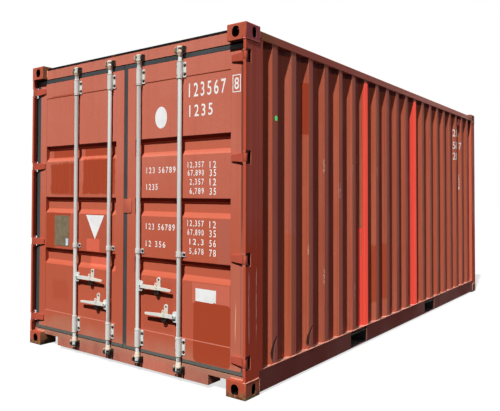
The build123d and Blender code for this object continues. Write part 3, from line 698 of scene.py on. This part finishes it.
def sealed_header(colour, place, x, y, z):
    """A line of sealant along the lip, painted black as a painted shadow gap under the roof's edge, and
    stains below it.
    """
    # Painted shadow: the lip is painted black, sealant darkened into a shadow gap.
    line = ramped(z + wander(place, 9, 3, 0.004), 2.5495, 2.5505)
    stains = patchy(place, (5, 1, 22), 3, 0.55, 0.75)
    return layered(colour, (line, shade_black), (stains * 0.25, frame_red))


def dusty_sill(colour, place, x, y, z):
    """Dust that settles on the sill, thicker towards its top edge."""
    high = ramped(z + cloudy(place, 12, 4) * 0.04, 0.1, 0.17)
    spots = patchy(place, 8, 5, 0.5, 0.68, 0.7)
    return layered(colour, (high * 0.5, sill_dust), (spots * 0.35, frame_shade))


beam_paint = (frame_faded, frame_shade)
header_finish = old_paint("header_paint", header_red, *beam_paint, 0.2, 0.3, touches=sealed_header)
sill_finish = old_paint("sill_paint", sill_red, *beam_paint, 0.25, 0.5, touches=dusty_sill)
soften("door_header", 0.002, header_finish)
soften("door_sill", 0.002, sill_finish)


# Doors: each leaf is a frame of tubes with a pressed panel, welded in and painted with it.
# Wet rags and rollers have left darker patches, and the seams of the panel show as lines.
door_red = (0.56, 0.155, 0.1)
door_faded = (0.585, 0.18, 0.125)
door_grime = (0.4, 0.1, 0.06)
door_patch = (0.375, 0.056, 0.022)
door_deep = (0.5, 0.115, 0.062)
door_bright = (0.8, 0.155, 0.095)
door_salmon = (0.66, 0.17, 0.115)
door_stain = (0.44, 0.135, 0.1)
door_stile = (0.52, 0.2, 0.14)
door_worn = (0.45, 0.2, 0.12)
door_scrape = (0.78, 0.36, 0.22)
door_slope_shade = (0.2, 0.02, 0.008)
door_low = (0.475, 0.094, 0.047)
door_low_dust = (0.5, 0.25, 0.17)
seam_dark = (0.27, 0.05, 0.022)
seam_pale = (0.7, 0.32, 0.25)
panel_inner, panel_outer = 0.112, 1.056
groove_levels = (0.831, 1.3, 1.769)
rubbed_patches = ((-0.985, -0.655, 1.395, 1.675, 0.03, 0.05), (-0.53, -0.13, 1.395, 1.705, 0.015, 0.05))
left_patches = (
    (0.85, door_patch, (-0.99, -0.655, 1.728, 1.8, 0.01, 0.01), (-0.545, -0.19, 1.728, 1.8, 0.01, 0.01)),
    (0.85, door_patch, (-1.05, -0.925, 0.9, 1.225, 0.015, 0.02), (-0.93, -0.7, 1.195, 1.225, 0.01, 0.01)),
    (0.6, door_patch, (-0.985, -0.625, 2.286, 2.301, 0.006, 0.006)),
    (0.22, door_patch, (-0.62, -0.13, 0.9, 1.225, 0.02, 0.02)),
    (0.7, door_bright, (-0.48, -0.315, 0.905, 1.012, 0.005, 0.008),
     (-0.455, -0.225, 0.775, 0.87, 0.012, 0.02)),
    (0.3, door_patch, (-0.95, -0.72, 0.45, 0.62, 0.05, 0.08)),
    (0.4, door_worn, (-0.92, -0.66, 0.19, 0.3, 0.06, 0.1)),
)
right_patches = (
    (0.6, door_salmon, (0.71, 1.05, 0.6, 0.75, 0.008, 0.01)),
    (0.25, door_patch, (0.2, 0.52, 0.35, 0.72, 0.03, 0.03)),
    (0.5, door_stain, (0.945, 1.052, 0.9, 1.215, 0.02, 0.03)),
)


def patched(place, x, z, *boxes):
    """Patches in boxes: their limits across and up, their soft edge and how far it wanders."""
    whole = 0.0
    for x0, x1, z0, z1, soft, reach in boxes:
        across = between(x + wander(place, 16, 3, reach), x0, x1, soft)
        box = across * between(z + wander(place, 19, 3, reach), z0, z1, soft)
        whole = box.most(whole)
    return whole


def used_door(colour, place, x, y, z):
    """What both doors share: painted shade on the slope under each groove's upper edge, dust and lines at
    the seams.
    """
    inner = between(abs(x), panel_inner, panel_outer, 0.002)
    rich = 1 - ramped(z + wander(place, 3, 3, 0.4), 0.85, 1.95)
    coats = [(rich * 0.85, door_low)]
    for level in groove_levels:
        deep = between(z, level - 0.056, level + 0.045, 0.008)
        # Painted shade: the slope under the upper edge of each groove is painted near black.
        under = between(z, level + 0.043, level + 0.1, 0.002) * ramped(y, -2.9755, -2.9735)
        coats += [(deep * inner * 0.6, door_deep), (under * inner, door_slope_shade)]
    low = 1 - ramped(z + cloudy(place, 7, 4) * 0.15, 0.18, 0.4)
    upper = between(z, 2.2805, 2.2895, 0.003) * inner
    lower = between(z, 0.3215, 0.3285, 0.003) * inner
    edge = between(abs(x), panel_outer - 0.0015, panel_outer + 0.0015, 0.0015)
    edge = edge * between(z, 0.325, 2.285, 0.002)
    return layered(
        colour, *coats, (low * 0.55, door_low_dust), (upper, seam_dark), (lower * 0.35, seam_pale),
        (edge * 0.5, seam_dark),
    )


def left_marks(colour, place, x, y, z):
    """The left door: two rubbed patches in the upper field and darker paint by the plate."""
    thin = 1 - patchy(place, (30, 1, 1.2), 3, 0.52, 0.72) * 0.25
    coats = [(patched(place, x, z, *rubbed_patches) * thin * 0.95, door_patch)]
    coats += [(patched(place, x, z, *boxes) * share, coat) for share, coat, *boxes in left_patches]
    return layered(used_door(colour, place, x, y, z), *coats)


def right_marks(colour, place, x, y, z):
    """The right door: a repainted patch at the lower right, one behind the label, and scratches."""
    coats = [(patched(place, x, z, *boxes) * share, coat) for share, coat, *boxes in right_patches]
    across = abs(x - 0.8885).most(0.1365) - 0.1365
    up = abs(z - 0.3925).most(0.1895) - 0.1895
    repaint = 1 - ramped(across * across + up * up, 0.028 ** 2, 0.033 ** 2)
    seam = between(z, 0.3215, 0.3285, 0.003) * repaint
    stile = between(x, 1.06, 1.142, 0.01) * between(z, 0.25, 0.93, 0.06)
    wavy = x + wander(place, (4, 4, 4.8), 3, 0.02)
    thin = between(wavy, 1.096, 1.104, 0.004) * between(z, 0.4, 0.62, 0.1)
    return layered(
        used_door(colour, place, x, y, z), *coats, (repaint * 0.92, door_patch), (seam * 0.4, seam_pale),
        (stile * 0.35, door_stile), (thin * 0.8, door_scrape),
    )


door_paint = (door_red, door_faded, door_grime, 0.3, 0.2, 0.8)
door_finishes = {
    "left": old_paint("left_door_paint", *door_paint, left_marks),
    "right": old_paint("right_door_paint", *door_paint, right_marks),
}
for side, finish in door_finishes.items():
    soften(side + "_door_frame", 0.003, finish)
    soften(side + "_door_panel", 0, finish)
soften("overlap_plate", 0.0015, door_finishes["right"])


# Hinges: four forged blades on each door turn on pins between lugs in the corner post. Each
# blade is thick at its knuckle and tapers to a tip that is welded to the door's stile.
hinge_red = (0.45, 0.078, 0.044)
hinge_faded = (0.51, 0.108, 0.066)
steel_grey = (0.1, 0.075, 0.06)


def dark_lugs(colour, place, x, y, z):
    """Lugs whose outer flanks, by the hinge windows, are painted black as painted shade."""
    return mixed(ramped(abs(x), 1.215, 1.2156) * 0.95, colour, shade_black)


def worn_steel(name, shine, base, worn, share, spots, rough, depth):
    """Bare steel with rusted or rubbed spots, which are rougher than the rest."""
    made, shader, place, x, y, z = new_finish(name, *shine)
    spotted = patchy(place, *spots)
    colour = mixed(spotted * share, base, worn)
    laid_on(shader, colour, rough[0] + rough[1] * spotted, spotted, depth)
    return made


hinge_finish = old_paint("hinge_paint", hinge_red, hinge_faded, frame_shade, 0.2, 0.5)
lug_finish = old_paint("lug_paint", post_edge, frame_faded, frame_shade, 0.2, 0.5, touches=dark_lugs)
pin_finish = worn_steel(
    "pin_steel", (0.1, 0.2), steel_grey, rust_dark, 1.0, (60, 4, 0.4, 0.7), (0.45, 0.3), 0.0004)
soften("hinge_lugs", 0.0015, lug_finish)
soften("left_hinge_blades", 0.0045, hinge_finish)
soften("right_hinge_blades", 0.0045, hinge_finish)
soften("hinge_pins", 0, pin_finish)


# Door gaskets: rubber of a hollow section with two lips, cut to length and mitred round each
# leaf. The outer lip lies against the frame, and dust greys it along the bottom.
rubber_black = (0.036, 0.04, 0.042)
rubber_grey = (0.058, 0.063, 0.066)
rubber_dust = (0.13, 0.13, 0.112)
rubber_bloom = (0.042, 0.066, 0.066)
rubber_painted = (0.2, 0.045, 0.028)
rubber_smeared = (0.46, 0.155, 0.105)
rubber_edge = (0.3, 0.2, 0.14)
leaf_inner, leaf_outer = 0.022, 1.146
leaf_low, leaf_high = 0.17, 2.425
outer_reach, top_reach, low_reach = 0.05, 0.036, 0.028
inner_reaches = {"left": 0, "right": 0.043}
gasket_front = -2.979
gasket_section = (
    (0.00, 0.002), (0.05, 0.000), (0.86, 0.000), (0.95, 0.002), (1.00, 0.008), (0.985, 0.013),
    (0.9, 0.011), (0.72, 0.012), (0.66, 0.02), (0.7, 0.034), (0.84, 0.044), (0.82, 0.048),
    (0.6, 0.044), (0.3, 0.05), (0.00, 0.048),
)

rubber, shader, place, x, y, z = new_finish("gasket_rubber", 0, 0.2)
chalk = patchy(place, 3, 5, 0.35, 0.7, 0.6)
bloom = (1 - ramped(x, -1.15, -1.144)) * between(z, 0.2, 2.42, 0.02)
painted = ramped(x, 1.144, 1.15) * between(z, 0.2, 2.425, 0.01)
height = ramped(z + cloudy(place, 8, 3) * 0.3, 0.95, 1.55)
edge = between(x, -1.1985, -1.1955) * between(z, 0.25, 2.35, 0.02)
# Painted shadow: under the top corner castings the rubber is painted black, as the castings' shadow.
in_cast_shadow = ramped(abs(x), 1.056, 1.06) * ramped(z, 2.4, 2.42)
low = 1 - ramped(z + cloudy(place, 9, 3) * 0.05, 0.185, 0.22)
colour = layered(
    mixed(chalk, rubber_black, rubber_grey), (bloom * 0.8, rubber_bloom),
    (painted * 0.9, mixed(height, rubber_smeared, rubber_painted)), (edge * 0.8, rubber_edge),
    (in_cast_shadow, shade_black), (low * 0.75, rubber_dust),
)
laid_on(shader, colour, 0.5 + 0.3 * chalk, cloudy(place, (90, 90, 90), 2), 0.0004)


def gasket(inner_reach):
    """The rubber of one leaf, on the right side, with an inner strip where inner_reach isn't 0."""
    vertices, faces = [], []
    for across, back in gasket_section:
        x0, x1 = leaf_inner - inner_reach * across, leaf_outer + outer_reach * across
        z0, z1 = leaf_low - low_reach * across, leaf_high + top_reach * across
        y = gasket_front + back
        vertices += [(x0, y, z0), (x1, y, z0), (x1, y, z1), (x0, y, z1)]
    end = len(vertices)
    runs = [(0, 1), (1, 2), (2, 3), (3, 0)][:4 if inner_reach else 3]
    for first in range(0, end, 4):
        second = (first + 4) % end
        faces += [(first + a, first + b, second + b, second + a) for a, b in runs]
    if not inner_reach:
        faces += [tuple(range(0, end, 4)), tuple(range(end - 1, 0, -4))]
    return vertices, faces


for side, reach in inner_reaches.items():
    vertices, faces = gasket(reach)
    if side == "left":
        vertices = [(-x, y, z) for x, y, z in vertices]
        faces = [tuple(reversed(face)) for face in faces]
    strip = settle(side + "_gasket_lips", vertices, faces, side + "_door", rubber, "gasket_rubber", False)
    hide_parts(side + "_door_gasket")


# Lock rods, guides and keepers: galvanized tubes that turn a cam at each end into keepers on
# the header and the sill. Pressed covers hold them, bolted through the door, and collars stop
# them from sliding.
zinc_pale = (0.66, 0.69, 0.66)
zinc_cream = (0.68, 0.59, 0.46)
zinc_dull = (0.42, 0.42, 0.39)
cover_grey = (0.68, 0.67, 0.62)
cam_cream = (0.78, 0.7, 0.58)
keeper_brown = (0.33, 0.21, 0.13)
bolt_dark = (0.03, 0.022, 0.018)
shade_and_grease_black = (0.014, 0.011, 0.01)
rod_y = -3.002
rods = {
    "left_outer": (-0.6, 1, 0.675, 0.208),
    "left_inner": (-0.17, -1, 0.476, 0.144),
    "right_inner": (0.17, 1, 0.675, 0.208),
    "right_outer": (0.6, -1, 0.476, 0.144),
}
cover_spans = ((2.281, 2.396), (0.199, 0.319))
cover_bolt_in = 0.024
bolt_aside = 0.0355
bolt_y = -2.985
middle_guide = 0.9475
cam_ends = ((2.466, 1), (0.117, -1))
nib_profile = [(0.0035, 0), (0.003, 0.0016), (0.001, 0.0022)]
collar_profile = [
    (0.0168, 0), (0.0212, 0.0006), (0.0222, 0.003), (0.0222, 0.008), (0.0208, 0.0105), (0.0168, 0.011),
]
cam_profile = [
    (0.0168, -0.03), (0.0192, -0.028), (0.0196, -0.01), (0.0225, -0.004), (0.025, 0.002),
    (0.0252, 0.009), (0.0235, 0.014), (0.0178, 0.017), (0.0176, 0.029), (0.023, 0.032),
    (0.025, 0.036), (0.0248, 0.044), (0.0215, 0.049), (0.016, 0.0515), (0.006, 0.052),
]


def round_spot(x, z, across, level, inner, outer):
    """A ring round a place on the doors, or a dot where inner is 0."""
    apart = (x - across) * (x - across) + (z - level) * (z - level)
    spot = 1 - ramped(apart, outer ** 2 * 0.85, outer ** 2 * 1.15)
    return spot * ramped(apart, inner ** 2 * 0.85, inner ** 2 * 1.15) if inner else spot


def shaded_keepers(colour, place, x, y, z):
    """Painted shade: black to the right of each rod, where the cams' shadows fall, and on the low keepers
    and cams.
    """
    for across, way, level, hold in rods.values():
        colour = mixed(between(x, across + 0.024, across + 0.06, 0.002) * 0.9, colour, shade_and_grease_black)
    low = 1 - ramped(z + wander(place, 40, 3, 0.02), 0.096, 0.108)
    return mixed(low * 0.95, colour, shade_and_grease_black)


def dark_pins(colour, place, x, y, z):
    """A dark, worn ring on the pin of each handle."""
    for across, way, level, hold in rods.values():
        dot = round_spot(x, z, across + way * 0.04, level, 0, 0.0075)
        colour = mixed(dot * 0.9, colour, bolt_dark)
    return colour


def dark_rings(colour, place, x, y, z):
    """A black ring under each shelf, grease darkened into painted shade, and painted shade in the hole of
    each tab.
    """
    for across, way, level, hold in rods.values():
        spot = round_spot(x, z, across + way * hold, level - 0.0315, 0.0075, 0.0168)
        hole = round_spot(x, z, across + way * hold, level + 0.06, 0, 0.009)
        colour = mixed(spot.most(hole) * 0.92, colour, shade_and_grease_black)
    return colour


def zinc(name, base, rust, bloomed=zinc_pale, touches=None):
    """Dull zinc with white bloom, spangle and rust that starts in the corners."""
    made, shader, place, x, y, z = new_finish(name, 0.0, 0.12)
    bloom = patchy(place, 7, 5, 0.38, 0.66, 0.6)
    spangle = patchy(place, 130, 2, 0.45, 0.7, 0.6)
    ends = ramped(abs(z - 1.288), 1.16, 1.21)
    worn = patchy(place, 34, 5, 0.62 - rust * 0.12, 0.74, 0.7) * (0.25 + 0.75 * ends)
    deep = patchy(place, 48, 4, 0.66 - rust * 0.1, 0.76, 0.7) * (0.1 + 0.9 * ends)
    colour = layered(
        mixed(bloom, base, bloomed), (spangle * 0.18, zinc_dull),
        (worn.least(1.0) * (0.5 + rust * 0.5), rust_light), (deep, rust_dark),
    )
    if touches:
        colour = touches(colour, place, x, y, z)
    laid_on(shader, colour, 0.42 + 0.25 * bloom + 0.2 * deep, spangle * 0.2 + deep, 0.0005)
    return made


def turned(profile, centre, axis, steps, turn=0.0):
    """A turned piece: radius and height pairs spun round an axis, closed at both ends."""
    axis = Vector(axis).normalized()
    side = axis.orthogonal().normalized()
    vertices = []
    for radius, height in profile:
        vertices += ring(Vector(centre) + height * axis, side, axis.cross(side), radius, steps, turn)
    return skin(vertices, steps)


def bolt(across, level, radius, turn):
    """A hexagon head with a chamfer, on a washer."""
    place, out = (across, bolt_y, level), (0, -1, 0)
    washer = turned([(radius * 1.5, 0), (radius * 1.5, 0.0018), (radius * 1.4, 0.0025)], place, out, 18)
    head = [(radius, 0.002), (radius, radius * 0.75), (radius * 0.84, radius * 0.9)]
    return gathered([washer, turned(head, place, out, 6, turn)])


rod_finish = zinc("rod_zinc", zinc_pale, 0.15, touches=dark_pins)
cover_finish = zinc("cover_zinc", cover_grey, 0.25)
cam_finish = zinc("cam_zinc", zinc_cream, 0.7, cam_cream, shaded_keepers)
keeper_finish = zinc("keeper_zinc", keeper_brown, 1.0, zinc_cream, shaded_keepers)
bolt_finish = worn_steel(
    "bolt_steel", (0.4, 0.4), bolt_dark, rust_dark, 0.6, (70, 4, 0.4, 0.65), (0.45, 0.35), 0.0004)
soften("cam_keepers", 0.0025, keeper_finish)
for side in ("left", "right"):
    soften(side + "_rod_guides", 0, cover_finish)
    bolts = []
    for rod, (across, way, level, hold) in rods.items():
        if rod.startswith(side):
            for low, high in cover_spans:
                for height in (low + cover_bolt_in, high - cover_bolt_in):
                    bolts.append(bolt(across + bolt_aside, height, 0.0082, across * 9))
                    bolts.append(bolt(across - bolt_aside, height, 0.0082, across * 5))
                    bolts.append(turned(nib_profile, (across - 0.0215, -3.006, height), (-1, -0.2, 0), 10))
            bolts.append(bolt(across + bolt_aside, middle_guide, 0.0078, across * 7))
            bolts.append(bolt(across - bolt_aside, middle_guide, 0.0078, across * 3))
    settle(side + "_guide_bolts", *gathered(bolts), side + "_door", bolt_finish, "hardware_paint", False)
for rod, (across, way, level, hold) in rods.items():
    soften(rod + "_lock_rod", 0.0012, rod_finish, 40)
    rings = []
    for span in cover_spans:
        for edge, toward in zip(span, (-1, 1)):
            centre = (across, rod_y, edge + toward * 0.0012)
            rings.append(turned(collar_profile, centre, (0, 0, toward), 32))
    settle(rod + "_collars", *gathered(rings), rod + "_rod", cover_finish, "hardware_paint")
    cams = [turned(cam_profile, (across, rod_y, end), (0, 0, toward), 32) for end, toward in cam_ends]
    settle(rod + "_cams", *gathered(cams), rod + "_rod", cam_finish, "hardware_paint")


# Handles and retainers: each flat handle hangs on a pin in the hub of its rod and drops on a
# shelf under a tab with a hole for a seal. They are galvanized like the rods, and rust shows
# where they rub.
handle_cream = (0.78, 0.72, 0.61)
retainer_cream = (0.66, 0.6, 0.5)
ring_y = -3.006
ring_down = 0.0345
ring_sizes = ((0.0042, 0.019), (0.003, 0.0062))

handle_finish = zinc("handle_zinc", handle_cream, 0.35)
retainer_finish = zinc("retainer_zinc", retainer_cream, 0.5, touches=dark_rings)
# The rings are black partly as painted shade under the handles.
ring_finish = worn_steel(
    "ring_steel", (0.0, 0.1), shade_and_grease_black, bolt_dark, 0.5, (60, 4, 0.45, 0.7), (0.5, 0.3), 0.0003)
for rod in rods:
    soften(rod + "_handle", 0.0022, handle_finish, 40)
for side in ("left", "right"):
    soften(side + "_handle_retainers", 0.0018, retainer_finish, 40)
    rings = []
    for rod, (across, way, level, hold) in rods.items():
        if rod.startswith(side):
            centre = (across + way * hold, ring_y, level - ring_down)
            for thick, radius in ring_sizes:
                loop = ring(centre, Vector((1, 0, 0)), Vector((0, 0, 1)), radius, 28)
                rings.append(tube(loop + loop[:1], [thick] * 29, 10, False))
    settle(side + "_retainer_rings", *gathered(rings), side + "_door", ring_finish, "hardware_paint")


# Data plate: a stamped aluminium plate riveted to the left door, tarnished to an olive brown,
# with faint rows pressed into it and a small pale sticker in its lower right corner.
plate_olive = (0.145, 0.105, 0.055)
plate_light = (0.215, 0.17, 0.1)
plate_dark = (0.07, 0.055, 0.04)
sticker_blue = (0.5, 0.66, 0.74)
sticker_pale = (0.66, 0.76, 0.8)
plate_x, plate_z = (-0.922, -0.72), (0.927, 1.203)
rivet_in = 0.01
rivet_dome = [(0.0042, 0), (0.004, 0.0008), (0.0028, 0.0018), (0.001, 0.0022)]
sticker_corners = ((-0.762, 0.934), (-0.728, 0.934), (-0.728, 0.998), (-0.762, 0.998))

plate_metal, shader, place, x, y, z = new_finish("tarnished_plate", 0.3, 0.4)
tarnish = patchy(place, 26, 5, 0.35, 0.65, 0.7)
inputs = {"Vector": place, "Scale": 14.0, "Distortion": 0.4}
line = place.node("TexWave", {"bands_direction": "Z"}, inputs)
colour = mixed(tarnish, plate_olive, plate_light)
colour = mixed(ramped(line, 0.55, 0.8) * 0.12, colour, plate_dark)
laid_on(shader, colour, 0.4 + 0.25 * tarnish, line, 0.0003)
soften("data_plate", 0.0004, plate_metal)

rivets = []
for across in (plate_x[0] + rivet_in, sum(plate_x) / 2, plate_x[1] - rivet_in):
    for level in (plate_z[0] + rivet_in, plate_z[1] - rivet_in):
        rivets.append(turned(rivet_dome, (across, -2.979, level), (0, -1, 0), 14))
settle("plate_rivets", *gathered(rivets), "left_door", plate_metal, "plate_metal")

sticker_film, shader, place, x, y, z = new_finish("sticker_film", 0, 0.3)
mixed(patchy(place, 60, 3, 0.4, 0.6), sticker_blue, sticker_pale).into(shader, "Base Color")
sticker = [(across, -2.9794, level) for across, level in sticker_corners]
settle("plate_sticker", sticker, [(0, 1, 2, 3)], "left_door", sticker_film, "plate_metal", False)


# Painted marks: plain running numbers, a box, an oval, a triangle and a blank label. They are
# cut from thin white film or sprayed through a stencil, so they lie flat on the paint.
film_white = (0.88, 0.87, 0.84)
film_worn = (0.66, 0.5, 0.45)
label_white = (0.85, 0.85, 0.84)
label_worn = (0.6, 0.56, 0.52)
film_thick = 0.0004
panel_y = -2.977
stile_y = -2.979
rib_x = 1.212
oval_centre = (0.389, panel_y - film_thick, 1.996)
oval_across, oval_up = Vector((0.062, 0, 0)), Vector((0, 0, 0.085))
blank_label = ((0.742, 0.616), (0.905, 0.612), (0.908, 0.622), (0.928, 0.616), (0.93, 0.707), (0.74, 0.709))
triangle = ((-0.488, 1.216), (-0.373, 1.009), (-0.258, 1.216))
large_rows = [("123567", 0.669, 1.012, 2.124, 2.23), ("1235", 0.673, 0.893, 1.977, 2.066)]
paired_rows = (
    ("12,357", "12", 1.59), ("67,890", "35", 1.53), ("2,357", "12", 1.463), ("6,789", "35", 1.395),
    ("12,357", "12", 1.155), ("67,890", "35", 1.089), ("12,3", "56", 1.019), ("5,678", "78", 0.95),
)
single_rows = (
    ("123 56789", 0.235, 0.54, 1.563), ("1235", 0.235, 0.356, 1.432),
    ("123 56789", 0.233, 0.536, 1.12), ("12 356", 0.233, 0.44, 0.985),
)


def film(name, base, worn, wear):
    """Old white paint or film with its edges and some flecks gone."""
    made, shader, place, x, y, z = new_finish(name, 0, 0.3)
    flecks = patchy(place, 85, 4, 0.66 - wear * 0.12, 0.72, 0.7)
    soft = patchy(place, 12, 3, 0.4, 0.7)
    colour = mixed(flecks * 0.8, mixed(soft * wear, base, worn), worn)
    laid_on(shader, colour, 0.5 + 0.2 * soft, flecks, 0.0002)
    return made


def figures(text, low, high, place_one):
    """Numbers as flat outlines, scaled to a box from low to high and put in place."""
    curve = bpy.data.curves.new("figures", "FONT")
    curve.body = text
    curve.offset = 0.01
    curve.space_character = 1.36
    curve.resolution_u = 5
    holder = added("figures", curve)
    bpy.context.view_layer.update()
    mesh = bpy.data.meshes.new_from_object(holder.evaluated_get(bpy.context.evaluated_depsgraph_get()))
    bpy.data.objects.remove(holder)
    spans = [(min(values), max(values)) for values in zip(*[v.co[:2] for v in mesh.vertices])]
    points = []
    for v in mesh.vertices:
        shares = [(v.co[axis] - start) / (end - start) for axis, (start, end) in enumerate(spans)]
        points.append(place_one(*[low[axis] + (high[axis] - low[axis]) * shares[axis] for axis in (0, 1)]))
    return points, [tuple(p.vertices) for p in mesh.polygons]


def on_door(y):
    """A way to lay marks on a door's panel or its frame."""
    return lambda across, up: Vector((across, y - film_thick, up))


def on_rib(across, up):
    """The place of a mark on the face of a rib."""
    return Vector((rib_x + film_thick, across, up))


def along_slope(index):
    """A way to lay marks on the slope of a rib that faces the doors, by shares of its width."""
    foot = Vector((1.176, rib_centres[index] - slope_start, 0))
    crest = Vector((rib_x, rib_centres[index] - slope_end, 0))
    off = Vector((0.884, -0.468, 0)) * film_thick
    return lambda share, up: foot.lerp(crest, share) + off + Vector((0, 0, up))


def flat_shape(outline):
    """An outline on a door's panel as one face."""
    return [on_panel(*corner) for corner in outline], [tuple(range(len(outline)))]


def frame_strip(x0, x1, z0, z1, wide):
    """The outline of a box as four strips."""
    boxes = [(x0 + inset, x1 - inset, z0 + inset, z1 - inset) for inset in (0, wide)]
    corners = [corner for a, b, c, d in boxes for corner in ((a, c), (b, c), (b, d), (a, d))]
    strips = [(k, (k + 1) % 4, (k + 1) % 4 + 4, k + 4) for k in range(4)]
    return [on_stile(*corner) for corner in corners], strips


on_panel, on_stile = on_door(panel_y), on_door(stile_y)
mark_finish = film("stencil_white", film_white, film_worn, 0.15)
label_finish = film("label_white", label_white, label_worn, 0.25)

rows = list(large_rows)
for index, (number, pair, level) in enumerate(paired_rows):
    rows.append((number, 0.681 if index % 4 > 1 else 0.661, 0.815, level, level + 0.051))
    rows.append((pair, 0.868, 0.927, level, level + 0.051))
rows += [(number, x0, x1, level, level + 0.048) for number, x0, x1, level in single_rows]
numbers = [figures(text, (x0, z0), (x1, z1), on_panel) for text, x0, x1, z0, z1 in rows]
numbers.append(figures("8", (1.087, 2.138), (1.125, 2.222), on_stile))
numbers.append(frame_strip(1.071, 1.141, 2.118, 2.242, 0.006))
settle("door_numbers", *gathered(numbers), "right_door", mark_finish, "door_paint", False)

oval = ring(oval_centre, oval_across, oval_up, 1, 48)
labels = gathered([(oval, [tuple(range(48))]), flat_shape(blank_label)])
settle("right_door_labels", *labels, "right_door", label_finish, "door_paint", False)
settle("left_door_label", *flat_shape(triangle), "left_door", label_finish, "door_paint", False)

crest = rib_centres[17]
rib_rows = []
for first, second, third, level in (("2", "1", "", 2.203), ("5", "1", "7", 2.034), ("2", "1", "", 1.889)):
    rib_rows.append(figures(first, (0.3, level), (1.0, level + 0.096), along_slope(17)))
    rib_rows.append(figures(second, (crest - 0.008, level), (crest + 0.022, level + 0.096), on_rib))
    if third:
        rib_rows.append(figures(third, (0.42, level + 0.008), (0.98, level + 0.104), along_slope(18)))
for row, number in enumerate("12357"):
    low = 1.485 + 0.043 * row
    rib_rows.append(figures(number, (0.26, low), (0.5, low + 0.035), along_slope(18)))
settle("wall_numbers", *gathered(rib_rows), "root", mark_finish, "wall_paint", False)
